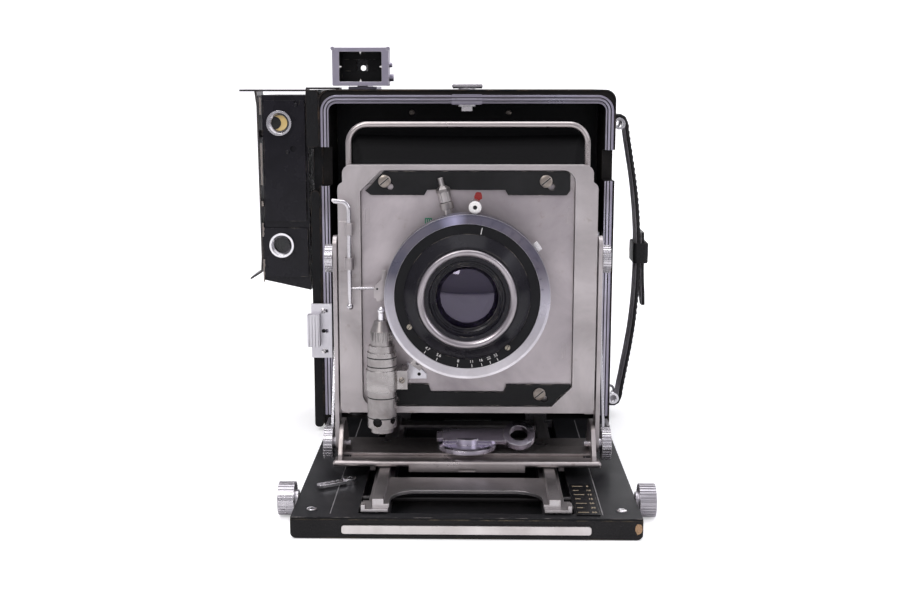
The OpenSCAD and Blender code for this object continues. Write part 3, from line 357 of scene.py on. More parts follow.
def dial_metal(name):
    """Satin dial with painted reflection: dark blue-grey over the top, a painted bright reflection along the lower left
    and a small painted highlight just left of the top.
    """
    M = Mat(name)
    r, a = axis_polar(M)
    # painted reflection: colour set by the angle round the lens, dark blue-grey over the top, near-white along the
    # lower left, with a small painted highlight just left of the top
    tone_with_painted_light = M.ramp(a, [(0.0, (0.085, 0.083, 0.12)), (0.19, (0.075, 0.072, 0.105)), (0.26, (0.46, 0.44, 0.50)), (0.42, (0.97, 0.94, 0.97)), (0.60, (0.97, 0.94, 0.97)),
                      (0.72, (0.55, 0.53, 0.58)), (0.80, (0.075, 0.075, 0.105)), (0.94, (0.085, 0.085, 0.12)), (0.975, (0.36, 0.35, 0.50)), (1.0, (0.085, 0.083, 0.12))])
    cloud = M.noise(70, 4)
    c = M.mix(M.maprange(cloud, 0.3, 0.7, 0, 0.35), tone_with_painted_light, (0.22, 0.19, 0.20))
    # painted highlight: edges mixed toward near-white
    c = M.mix(M.math("MULTIPLY", M.edge(0.6 * MM), 0.55), c, (0.9, 0.88, 0.9))
    line = M.noise(1.0, 3, 0.5, 0, M.scaled(900, 900, 900))
    M.set(Base_Color=c, Metallic=0.9, Roughness=M.maprange(cloud, 0.3, 0.7, 0.26, 0.38), Normal=M.bump(line, 0.3, 0.05 * MM, M.bevel(0.3 * MM)))
    return M.m


def simple(name, c, rough=0.5, metallic=0.0, em=0.0):
    M = Mat(name)
    k = M.noise(1400, 3)
    M.set(Base_Color=M.mix(M.maprange(k, 0.35, 0.65, 0, 1), c, tuple(x * 0.82 for x in c)), Roughness=M.maprange(k, 0.3, 0.7, rough - 0.08, rough + 0.08), Metallic=metallic,
          Normal=M.bump(k, 0.1, 0.03 * MM), Emission_Color=c, Emission_Strength=em)
    return M.m


MT = {
    "leather": leather("leather_body"),
    "leather_fine": leather("leather_cover", base=(0.0085, 0.0085, 0.0095), grain=0.9, depth=0.10, rough=0.46, wear=0.5),
    "leather_bed": leather("leather_bed", base=(0.010, 0.0095, 0.010), grain=1.0, depth=0.14, rough=0.5, wear=1.0, worn=(0.15, 0.12, 0.075)),
    "strap": leather("leather_strap", base=(0.010, 0.0095, 0.0105), grain=1.5, depth=0.10, rough=0.4, wear=0.8, worn=(0.20, 0.17, 0.15)),
    "rim_bands": rim_bands("rim_bands"),
    "rim": metal("rim_metal", (0.50, 0.465, 0.56), (0.34, 0.315, 0.40), 0.27, 0.10, (60, 60, 60), 0.5, bev=0.4, edge_highlight=0.5, edge_dark=0.3),
    "plate": metal("satin_plate", (0.55, 0.51, 0.51), (0.37, 0.34, 0.34), 0.40, 0.14, None, 0.55, bev=0.45, scratch=0.3, metallic=0.86, stain_c=(0.30, 0.245, 0.20), blotch=26),
    "board": metal("board_plate", (0.58, 0.53, 0.54), (0.35, 0.315, 0.33), 0.44, 0.14, None, 0.7, bev=0.25, scratch=0.35, metallic=0.82, stain_c=(0.34, 0.28, 0.24), blotch=20, edge_dark=0.35),
    "base": metal("base_plate", (0.60, 0.555, 0.545), (0.40, 0.36, 0.355), 0.33, 0.16, (30, 240, 240), 0.9, bev=0.5, metallic=0.95, stain_c=(0.14, 0.10, 0.08), edge_dark=0.6, blotch=38),
    "rail": metal("rail_metal", (0.68, 0.65, 0.65), (0.50, 0.475, 0.475), 0.36, 0.12, (240, 12, 240), 0.5, bev=0.35, edge_dark=0.3),
    "track": metal("track_metal", (0.30, 0.29, 0.30), (0.17, 0.16, 0.17), 0.42, 0.14, (240, 12, 240), 0.8, bev=0.3, stain_c=(0.07, 0.06, 0.05)),
    "lever": metal("lever_metal", (0.64, 0.61, 0.69), (0.48, 0.45, 0.53), 0.28, 0.12, (60, 60, 60), 0.5, bev=0.55, edge_dark=0.25, edge_highlight=0.6),
    "alu": metal("pale_alu", (0.80, 0.785, 0.82), (0.70, 0.68, 0.72), 0.36, 0.08, None, 0.35, bev=0.3, metallic=0.85, stain_c=(0.42, 0.36, 0.34)),
    "shaft_knob": knob_and_shaft("knob_and_shaft"),
    "knob": metal("knurled_metal", (0.62, 0.60, 0.63), (0.45, 0.43, 0.46), 0.27, 0.10, None, 0.45, bev=0.3, metallic=0.95, stain_c=(0.35, 0.28, 0.24), edge_highlight=0.5),
    "can": metal("can_metal", (0.44, 0.415, 0.405), (0.25, 0.23, 0.225), 0.30, 0.16, (60, 60, 300), 0.9, bev=0.3, metallic=0.92, stain_c=(0.28, 0.22, 0.19), blotch=60),
    "finder": metal("finder_metal", (0.47, 0.44, 0.52), (0.36, 0.335, 0.42), 0.33, 0.08, None, 0.3, bev=0.45, metallic=0.95, edge_highlight=0.5),
    "bracket": metal("bracket_metal", (0.085, 0.08, 0.085), (0.03, 0.03, 0.032), 0.30, 0.14, None, 0.9, bev=0.3, stain_c=(0.16, 0.12, 0.09), edge_dark=0.5),
    "wire": chrome("wire_nickel", (0.47, 0.43, 0.42), 0.28, pit=0.6),
    "rod": chrome("rod_nickel", (0.66, 0.64, 0.66), 0.22, pit=0.4),
    "strip": metal("strip_metal", (0.76, 0.72, 0.70), (0.56, 0.52, 0.50), 0.34, 0.10, (12, 240, 240), 0.6, bev=0.4, stain_c=(0.30, 0.26, 0.22)),
    "lens_ring": metal("lens_ring_metal", (0.46, 0.425, 0.44), (0.32, 0.295, 0.31), 0.30, 0.08, (600, 600, 600), 0.3, bev=0.3, edge_highlight=0.8),
    "glint": simple("daylight_dot", (0.9, 0.9, 0.9), 0.5, em=1.0),
    "pale_line": simple("scribed_line", (0.30, 0.29, 0.30), 0.6),
    "chrome": chrome("chrome_plate"),
    "chrome2": chrome("chrome_lever", (0.78, 0.76, 0.77), 0.20, pit=0.6),
    "ring_cad": metal("dial_metal", (0.48, 0.46, 0.55), (0.34, 0.33, 0.41), 0.30, 0.08, (300, 20, 300), 0.2, bev=0.3, edge_highlight=0.7),
    "black": paint("black_enamel"),
    "shutter": shutter_paint("shutter_enamel"),
    "dial": dial_metal("dial_metal_painted_reflection"),
    "black_matt": paint("black_matt", (0.006, 0.006, 0.0065), 0.55, 0.35, grit=0.5),
    "black_gloss": paint("black_gloss", (0.006, 0.0055, 0.008), 0.24, 0.45, coat=0.18),
    "black_bar": paint("black_bar", (0.010, 0.010, 0.0105), 0.42, 0.9, under=(0.62, 0.56, 0.50)),
    "bed": paint("bed_enamel", (0.010, 0.010, 0.011), 0.40, 0.8, under=(0.42, 0.38, 0.36), grit=0.55, blotch=26),
    "wood": wood_dark("dark_wood"),
    "bellows": cloth_black("bellows_cloth"),
    "brass": metal("old_brass", (0.62, 0.50, 0.30), (0.45, 0.34, 0.18), 0.34, 0.14, None, 0.6, stain_c=(0.15, 0.10, 0.05)),
    "lens": glass_lens("coated_glass"),
    "amber": glass_clear("amber_glass", (0.85, 0.62, 0.24), 0.85, 0.12),
    "clear": glass_clear("finder_glass", (0.10, 0.11, 0.14), 0.35),
    "dark_pane": glass_clear("dark_pane", (0.008, 0.008, 0.011), 0.5, 0.05),
    "ground": glass_clear("ground_glass", (0.80, 0.83, 0.82), 0.85, 0.6),
    "white": simple("dial_white", (0.82, 0.80, 0.78), 0.5),
    "grey_ink": simple("dial_grey", (0.10, 0.09, 0.14), 0.5),
    "faint_ink": simple("dial_faint", (0.09, 0.085, 0.13), 0.5),
    "worn_screw": metal("worn_screw", (0.36, 0.32, 0.28), (0.22, 0.19, 0.17), 0.42, 0.14, None, 0.7, bev=0.2, stain_c=(0.10, 0.075, 0.055)),
    "brass_grey": metal("brass_grey", (0.46, 0.42, 0.34), (0.32, 0.28, 0.22), 0.38, 0.12, None, 0.5, bev=0.2, stain_c=(0.12, 0.09, 0.06)),
    "hide": leather("bare_hide", base=(0.30, 0.19, 0.11), grain=0.8, depth=0.12, rough=0.8, wear=0.0),
    "gold_ink": simple("dial_gold", (0.70, 0.58, 0.40), 0.45),
    "red": simple("red_enamel", (0.30, 0.018, 0.014), 0.4),
    "green": simple("green_enamel", (0.02, 0.22, 0.12), 0.4),
    # flat near-black: painted shade in screw slots and the solenoid's grooves and ports; also the black of the iris
    # blades and of small discs on plates and caps
    "dark": simple("dark_recess", (0.006, 0.006, 0.007), 0.7),
    "thread": simple("strap_thread", (0.05, 0.045, 0.045), 0.75),
    "suede": leather("strap_lining", base=(0.46, 0.44, 0.47), grain=0.7, depth=0.08, rough=0.8, wear=0.0),
}

ASSIGN = {
    "body_shell": "wood", "body_leather": "leather", "front_trim": "rim_bands", "bed_release_button": "chrome2", "release_cover": "leather_fine",
    "release_plate": "alu", "release_slider": "alu", "body_rails": "track", "bellows": "bellows", "bellows_frame": "black_matt",
    "hinge_pin": "track", "tripod_socket": "brass", "rangefinder_housing": "black_gloss", "rangefinder_windows": "chrome",
    "rangefinder_lever": "track", "flash_bracket": "bracket", "finder_body": "finder", "finder_glasses": "dark_pane", "finder_eyepiece": "black",
    "strap_lugs": "chrome", "strap": "strap", "back_frame": "black_matt", "focusing_panel": "black_matt", "ground_glass": "ground",
    "panel_springs": "chrome2", "focusing_hood": "leather_fine", "peep_sight": "chrome2", "bed_panel": "bed", "bed_covering": "leather_bed",
    "bed_front_strip": "strip", "bed_tracks": "track", "distance_scale": "black", "focus_lock_lever": "chrome2", "brace_left": "chrome",
    "brace_right": "chrome", "focus_rails": "rail", "focus_knobs": "shaft_knob", "standard_base": "base", "clamp_lever": "lever",
    "shift_carrier": "base", "tilt_knob_left": "knob", "tilt_knob_right": "knob", "standard_yoke": "plate", "rise_knob_left": "knob",
    "rise_knob_right": "knob", "lens_frame": "plate", "wire_finder": "wire", "lens_board": "board", "board_catch": "black_bar", "board_lock": "black_bar",
    "shutter_body": "shutter", "speed_ring": "dial", "aperture_lever": "can", "cocking_lever": "chrome2", "lens_barrel": "black_gloss",
    "lens_glass": "lens", "iris_blades": "black", "solenoid": "can", "solenoid_plunger": "chrome", "release_rod": "rod",
}
for n, o in NODES.items():
    o.data.materials.clear()
    o.data.materials.append(MT[ASSIGN[n]])


# ------------------------------------------------------------------ mesh tools (millimetres in, metres out)
class Acc:
    """Collects pieces of mesh in millimetres; obj() turns them into one object."""

    def __init__(self):
        self.v, self.f, self.mi = [], [], []

    def add(self, verts, faces, M=None, mat=0):
        k = len(self.v)
        for p in verts:
            p = Vector(p)
            self.v.append(M @ p if M is not None else p)
        self.f += [[k + i for i in f] for f in faces]
        self.mi += [mat] * len(faces)
        return self

    def lathe(self, prof, seg=48, M=None, mat=0):
        """prof: (radius, height) pairs turned about Z; closed ends where the radius is 0."""
        verts, faces, rows = [], [], []
        for r, z in prof:
            if r < 1e-6:
                rows.append([len(verts)]); verts.append((0, 0, z))
            else:
                rows.append(list(range(len(verts), len(verts) + seg)))
                verts += [(r * math.cos(2 * math.pi * i / seg), r * math.sin(2 * math.pi * i / seg), z) for i in range(seg)]
        for a, b in zip(rows, rows[1:]):
            for i in range(seg):
                j = (i + 1) % seg
                if len(a) == 1 and len(b) == 1:
                    continue
                if len(a) == 1:
                    faces.append([a[0], b[i], b[j]][::-1])
                elif len(b) == 1:
                    faces.append([a[i], a[j], b[0]])
                else:
                    faces.append([a[i], a[j], b[j], b[i]])
        return self.add(verts, faces, M, mat)

    def box(self, lo, hi, M=None, mat=0, bev=0.0):
        bm = bmesh.new()
        bmesh.ops.create_cube(bm, size=1)
        for v in bm.verts:
            v.co = Vector([lo[i] + (v.co[i] + 0.5) * (hi[i] - lo[i]) for i in range(3)])
        if bev:
            bmesh.ops.bevel(bm, geom=bm.edges[:], offset=bev, segments=2, profile=0.6, affect="EDGES")
        bm.verts.index_update()
        vs = [tuple(v.co) for v in bm.verts]
        fs = [[v.index for v in f.verts] for f in bm.faces]
        bm.free()
        return self.add(vs, fs, M, mat)

    def text(self, s, size, M=None, mat=0, thick=0.05):
        c = bpy.data.curves.new("t", "FONT")
        c.body, c.size, c.align_x, c.align_y, c.extrude, c.resolution_u = s, size, "CENTER", "CENTER", thick, 3
        o = bpy.data.objects.new("t", c)
        bpy.context.scene.collection.objects.link(o)
        bpy.context.view_layer.update()
        me = bpy.data.meshes.new_from_object(o.evaluated_get(bpy.context.evaluated_depsgraph_get()))
        self.add([v.co.copy() for v in me.vertices], [list(p.vertices) for p in me.polygons], M, mat)
        bpy.data.objects.remove(o); bpy.data.curves.remove(c); bpy.data.meshes.remove(me)
        return self

    def obj(self, name, mats, body, smooth=40, replaces=None):
        me = bpy.data.meshes.new(name)
        me.from_pydata([tuple(p * MM) for p in self.v], [], self.f)
        for m in mats:
            me.materials.append(MT[m])
        for p, i in zip(me.polygons, self.mi):
            p.material_index = i
        bm = bmesh.new(); bm.from_mesh(me)
        bmesh.ops.remove_doubles(bm, verts=bm.verts, dist=1e-7)
        bmesh.ops.recalc_face_normals(bm, faces=bm.faces)
        for f in bm.faces:
            f.smooth = True
        for e in bm.edges:
            if len(e.link_faces) == 2:
                e.smooth = e.calc_face_angle(0) < math.radians(smooth)
        bm.to_mesh(me); bm.free()
        o = bpy.data.objects.new(name, me)
        bpy.context.scene.collection.objects.link(o)
        if body:
            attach(o, body)
        if replaces:
            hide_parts(*([replaces] if isinstance(replaces, str) else replaces))
        return o


def facing_front(x, y, z, spin=0):
    """Frame whose Z is -Y (towards the lens's subject) and whose Y is +Z, turned clockwise by spin degrees."""
    return Matrix.Translation((x, y, z)) @ Matrix.Rotation(math.radians(spin), 4, "Y") @ Matrix.Rotation(math.radians(90), 4, "X")


def screw(acc, M, r=1.6, h=0.6, slot=0.36, mat=0, dark=1, ang=35):
    acc.lathe([(0, h), (r * 0.55, h * 0.96), (r * 0.86, h * 0.7), (r, h * 0.25), (r, -0.4), (0, -0.4)], 28, M, mat)
    R = M @ Matrix.Rotation(math.radians(ang), 4, "Z")
    # the slot is a thin near-black box just proud of the head: painted shade standing in for a cut slot
    acc.box((-r * 0.86, -slot / 2, h * 0.55), (r * 0.86, slot / 2, h + 0.02), R, dark)


def lo(n): return BOX[n][0] / MM
def hi(n): return BOX[n][1] / MM
def mid(n): return (lo(n) + hi(n)) / 2


LENS = Vector(((lo("speed_ring").x + hi("speed_ring").x) / 2, lo("speed_ring").y, (lo("speed_ring").z + hi("speed_ring").z) / 2))
RING_R = (hi("speed_ring").x - lo("speed_ring").x) / 2


# ------------------------------------------------------------------ bellows
def bellows():
    a, b = lo("bellows"), hi("bellows")
    y_rear, y_front = b.y, a.y
    cx, cz = (a.x + b.x) / 2, (a.z + b.z) / 2
    w_rear, w_front = (b.x - a.x) / 2 - 0.6, (b.x - a.x) / 2 * 107.4 / 138 - 0.6
    pleats = 27
    rings = 2 * pleats + 1

    def ring(j):
        t = j / (rings - 1)
        y = y_rear + (y_front - y_rear) * t
        w = w_rear + (w_front - w_rear) * t
        deep = (6.6 - 1.6 * t) * (1 if 0 < j < rings - 1 else 0.0)
        inner = j % 2 == 1
        h = w - (deep if inner else 0)
        ch = (9.5 if inner else 3.2) * (1 - 0.15 * t)
        pts = []
        for q in range(4):
            ang = q * math.pi / 2
            c, s = math.cos(ang), math.sin(ang)
            side = []
            n = 7
            for i in range(n + 1):
                u = -1 + 2 * i / n
                x = (h - ch) * u
                sag = (0.5 if inner else 0.9) * (1 - u * u)
                side.append((x, -(h - sag + 0.25 * noise.noise((x * 0.11, y * 0.37, q * 9.0)))))
            for x, z in side:
                pts.append((cx + x * c - z * s, y, cz + x * s + z * c))
        return pts

    R = [ring(j) for j in range(rings)]
    # one section for each joint between the body and the front: (share of the length, from body, to body)
    # pleats in each: tilt needs 8 and the slide back onto the bed needs 11
    parts = [(0.0, 2 / 27, "root", "bed"), (2 / 27, 6 / 27, "bed", "rails"), (6 / 27, 17 / 27, "rails", "standard"),
             (17 / 27, 18 / 27, "standard", "carrier"), (18 / 27, 26 / 27, "carrier", "yoke"), (26 / 27, 1.0, "yoke", "front")]
    for k, (s0, s1, ba, bb) in enumerate(parts):
        j0, j1 = round(s0 * pleats) * 2, round(s1 * pleats) * 2
        verts, faces = [], []
        m = len(R[0])
        for j in range(j0, j1 + 1):
            verts += R[j]
        for j in range(j1 - j0):
            for i in range(m):
                i2 = (i + 1) % m
                faces.append([j * m + i, j * m + i2, (j + 1) * m + i2, (j + 1) * m + i])
        me = bpy.data.meshes.new(f"bellows_fold_{k + 1}")
        me.from_pydata([tuple(Vector(p) * MM) for p in verts], [], faces)
        me.materials.append(MT["bellows"])
        o = bpy.data.objects.new(f"bellows_fold_{k + 1}", me)
        bpy.context.scene.collection.objects.link(o)
        sol = o.modifiers.new("thick", "SOLIDIFY"); sol.thickness = 0.55 * MM; sol.offset = 0
        dg = bpy.context.evaluated_depsgraph_get()
        me2 = bpy.data.meshes.new_from_object(o.evaluated_get(dg))
        o.modifiers.clear(); o.data = me2
        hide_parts("bellows")
        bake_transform(o)


bellows()


# ------------------------------------------------------------------ strap
def strap():
    a, b = lo("strap"), hi("strap")
    lug_a, lug_b = lo("strap_lugs"), hi("strap_lugs")
    bar_x = lug_b.x - 3.4
    z_lo, z_hi = lug_a.z + 5.5, lug_b.z - 5.5
    yc = (a.y + b.y) / 2
    half = 9.0
    path = []

    def bowx(t):
        return bar_x + 4.3 + 9.4 * math.sin(math.pi * t) ** 1.25 + 0.5 * math.sin(3 * math.pi * t)
    for k in range(7, 0, -1):
        an = math.radians(-20 - 28 * k)
        path.append((bar_x + 4.3 * math.cos(an), z_lo + 4.3 * math.sin(an)))
    for i in range(61):
        t = i / 60
        path.append((bowx(t), z_lo + (z_hi - z_lo) * t))
    for k in range(1, 8):
        an = math.radians(20 + 28 * k)
        path.append((bar_x + 4.3 * math.cos(an), z_hi + 4.3 * math.sin(an)))

    def sweep(acc, path, half, th, mat_out, mat_in, yc, crown=0.5, taper=None):
        prof = [(-1, 0.0), (-0.97, 0.75), (-0.9, 1.0), (-0.5, 1.12), (0, 1.16), (0.5, 1.12), (0.9, 1.0), (0.97, 0.75), (1, 0.0),
                (0.97, -0.75), (0.9, -1.0), (0, -1.0), (-0.9, -1.0), (-0.97, -0.75)]
        rows, verts, faces, mats = [], [], [], []
        n = len(path)
        for i, (x, z) in enumerate(path):
            x0, z0 = path[max(0, i - 1)]
            x1, z1 = path[min(n - 1, i + 1)]
            d = Vector((x1 - x0, 0, z1 - z0)).normalized()
            nrm = Vector((d.z, 0, -d.x))
            h = half * (taper(i / (n - 1)) if taper else 1)
            for py, pt in prof:
                p = Vector((x, yc + py * h, z)) + nrm * (pt * th / 2)
                p += nrm * 0.12 * noise.noise((p.y * 0.2, z * 0.12, 3.1))
                verts.append(p)
        m = len(prof)
        acc0 = len(acc.f)
        fs = []
        for i in range(n - 1):
            for q in range(m):
                q2 = (q + 1) % m
                fs.append(([i * m + q, i * m + q2, (i + 1) * m + q2, (i + 1) * m + q], mat_in if 9 <= q <= 12 else mat_out))
        k = len(acc.v)
        acc.v += verts
        for f, mt in fs:
            acc.f.append([k + i for i in f]); acc.mi.append(mt)
        acc.f.append([k + i for i in range(m)][::-1]); acc.mi.append(mat_out)
        acc.f.append([k + (n - 1) * m + i for i in range(m)]); acc.mi.append(mat_out)

    A = Acc()
    sweep(A, path, half, 2.4, 0, 1, yc)
    # tail that hangs free below the keeper
    kz = (z_lo + z_hi) / 2 + 6
    tail = []
    for i in range(18):
        t = i / 17
        zz = kz + 12 - 44 * t
        tt = (zz - z_lo) / (z_hi - z_lo)
        tail.append((bowx(tt) + 2.75 + 6.2 * max(0.0, t - 0.45) ** 1.6, zz))
    sweep(A, tail[::-1], 8.2, 2.0, 0, 1, yc, taper=lambda u: min(1, 0.55 + 2.2 * u))
    # stitches along both edges
    for s in (-1, 1):
        for i in range(46):
            t = (i + 0.5) / 46
            x, z = bowx(t), z_lo + (z_hi - z_lo) * t
            M = Matrix.Translation((x + 1.3, yc + s * 7.2, z))
            A.lathe([(0, -1.05), (0.22, -0.95), (0.3, -0.4), (0.3, 0.4), (0.22, 0.95), (0, 1.05)], 8, M, 2)
    # keeper: a closed loop round strap and tail
    def loop(z0, z1, x0, x1, y0, y1, th):
        pts = [(x0, y0), (x1, y0), (x1, y1), (x0, y1)]
        ring = []
        for q, (cx_, cy_) in enumerate(((x0 + 1, y0 + 1), (x1 - 1, y0 + 1), (x1 - 1, y1 - 1), (x0 + 1, y1 - 1))):
            for k in range(5):
                an = math.radians(180 + 90 * q + 22.5 * k)
                ring.append((cx_ + 1.0 * math.cos(an), cy_ + 1.0 * math.sin(an), math.cos(an), math.sin(an)))
        verts, faces = [], []
        m = len(ring)
        prof = [(0, z0 + 0.5), (th * 0.7, z0), (th, z0 + 0.7), (th * 1.08, (z0 + z1) / 2), (th, z1 - 0.7), (th * 0.7, z1), (0, z1 - 0.5)]
        for o_, z in prof:
            verts += [(x + nx * o_, y + ny * o_, z) for x, y, nx, ny in ring]
        for r in range(len(prof)):
            r2 = (r + 1) % len(prof)
            for i in range(m):
                i2 = (i + 1) % m
                faces.append([r * m + i, r * m + i2, r2 * m + i2, r2 * m + i])
        A.add(verts, faces, None, 0)
    t = (kz - z_lo) / (z_hi - z_lo)
    loop(kz - 6, kz + 6, bowx(t) - 2.0, bowx(t) + 4.6, yc - 9.7, yc + 9.7, 1.1)
    A.obj("carrying_strap", ["strap", "suede", "thread"], "root", 50, "strap")


strap()


# ------------------------------------------------------------------ dials and markings
def ring_face():
    """Speed ring: ticks and faint figures round the upper right of the dial."""
    y = lo("speed_ring").y
    rin = RING_R - 4.75
    T = Acc()
    for i in range(11):
        a = 2 + i * 8.2
        s, c = math.sin(math.radians(a)), math.cos(math.radians(a))
        T.box((-0.12, -0.7, 0), (0.12, 0.7, 0.05), facing_front(LENS.x + (rin + 0.9) * s, y - 0.02, LENS.z + (rin + 0.9) * c, a))
    for s_, a in (("1", 2), ("2", 10.2), ("5", 18.4), ("10", 26.6), ("25", 34.8), ("50", 43), ("100", 51.2), ("200", 61)):
        s, c = math.sin(math.radians(a)), math.cos(math.radians(a))
        T.text(s_, 1.7, facing_front(LENS.x + (rin + 2.7) * s, y - 0.04, LENS.z + (rin + 2.7) * c, a), 0, 0.03)
    T.obj("speed_figures", ["faint_ink"], "ring", 30)


def shutter_face():
    """Front face inside the ring: aperture figures, a fine index line and two screws."""
    y = lo("speed_ring").y + 1.2
    T = Acc()
    for s_, a in (("4.7", 217), ("5.6", 205.6), ("8", 187.8), ("11", 176), ("16", 167.9), ("22", 160.7), ("32", 154.2)):
        s, c = math.sin(math.radians(a)), math.cos(math.radians(a))
        T.box((-0.12, -0.7, 0), (0.12, 0.7, 0.06), facing_front(LENS.x + 32.8 * s, y - 0.05, LENS.z + 32.8 * c, a))
        T.text(s_, 1.9, facing_front(LENS.x + 30.7 * s, y - 0.12, LENS.z + 30.7 * c, a - 180), 0, 0.04)
    s, c = math.sin(math.radians(12)), math.cos(math.radians(12))
    T.box((-0.16, -1.5, 0), (0.16, 1.5, 0.06), facing_front(LENS.x + 31.4 * s, y - 0.05, LENS.z + 31.4 * c, 12))
    T.obj("aperture_figures", ["white"], "front", 30)
    S = Acc()
    for a in (242, 141.7):
        s, c = math.sin(math.radians(a)), math.cos(math.radians(a))
        screw(S, facing_front(LENS.x + 30.5 * s, y - 0.02, LENS.z + 30.5 * c), 1.3, 0.5, 0.3, 0, 1, a * 1.7)
    S.obj("shutter_face_screws", ["brass_grey", "dark"], "front", 30)


def lens_front():
    """Front cell: chrome rim, black engraved-free ring and two glass surfaces."""
    a = lo("lens_barrel")
    y0 = a.y
    M0 = Matrix.Translation((LENS.x, y0, LENS.z)) @ Matrix.Rotation(math.radians(90), 4, "X")
    C = Acc()
    C.lathe([(22.9, -3.2), (23.0, -0.6), (22.7, 0.4), (22.0, 0.75), (21.0, 0.55), (20.2, 0.0), (19.6, -0.9), (19.4, -1.9), (19.4, -2.4), (22.9, -3.2)], 128, M0, 0)
    C.obj("lens_rim", ["lens_ring"], "front", 50)
    K = Acc()
    prof = [(19.5, -2.0), (19.3, -2.2), (19.0, -2.35), (17.6, -2.9), (17.4, -3.2), (16.4, -3.4), (16.2, -4.2), (15.4, -4.6), (15.2, -5.6), (14.6, -6.0), (14.5, -7.5), (19.5, -7.5), (19.5, -2.0)]
    K.lathe(prof, 128, M0, 0)
    K.obj("lens_name_ring", ["black_gloss"], "front", 25)
    G = Acc()
    prof = [(0, -3.4)]
    n = 18
    for i in range(1, n + 1):
        r = 15.0 * i / n
        prof.append((r, -3.4 - (30 - math.sqrt(30 * 30 - r * r))))
    prof += [(15.0, -8.5), (0, -9.5)]
    G.lathe(prof, 96, M0, 0)
    G.obj("front_element", ["lens"], "front", 30, None)
    # inner barrel with iris seen through the glass
    I = Acc()
    I.lathe([(14.2, -9.9), (12.4, -10.6), (11.0, -12.5), (10.4, -13.2), (10.2, -15.0), (6.2, -15.2), (6.2, -15.6), (14.2, -15.6), (14.2, -9.9)], 96, M0, 0)
    for k in range(10):
        R = M0 @ Matrix.Rotation(math.radians(36 * k), 4, "Z")
        I.box((4.6, -3.2, -15.1 + 0.03 * k), (10.4, 2.2, -15.02 + 0.03 * k), R, 1)
    I.obj("iris_seen", ["black_gloss", "dark"], "front", 25)
    D = Acc()
    D.lathe([(0, -17.0), (10.5, -17.0), (10.5, -17.6), (0, -17.6)], 64, M0, 0)
    D.obj("lens_depth", ["lens"], "front", 25)


shutter_face()
ring_face()
lens_front()


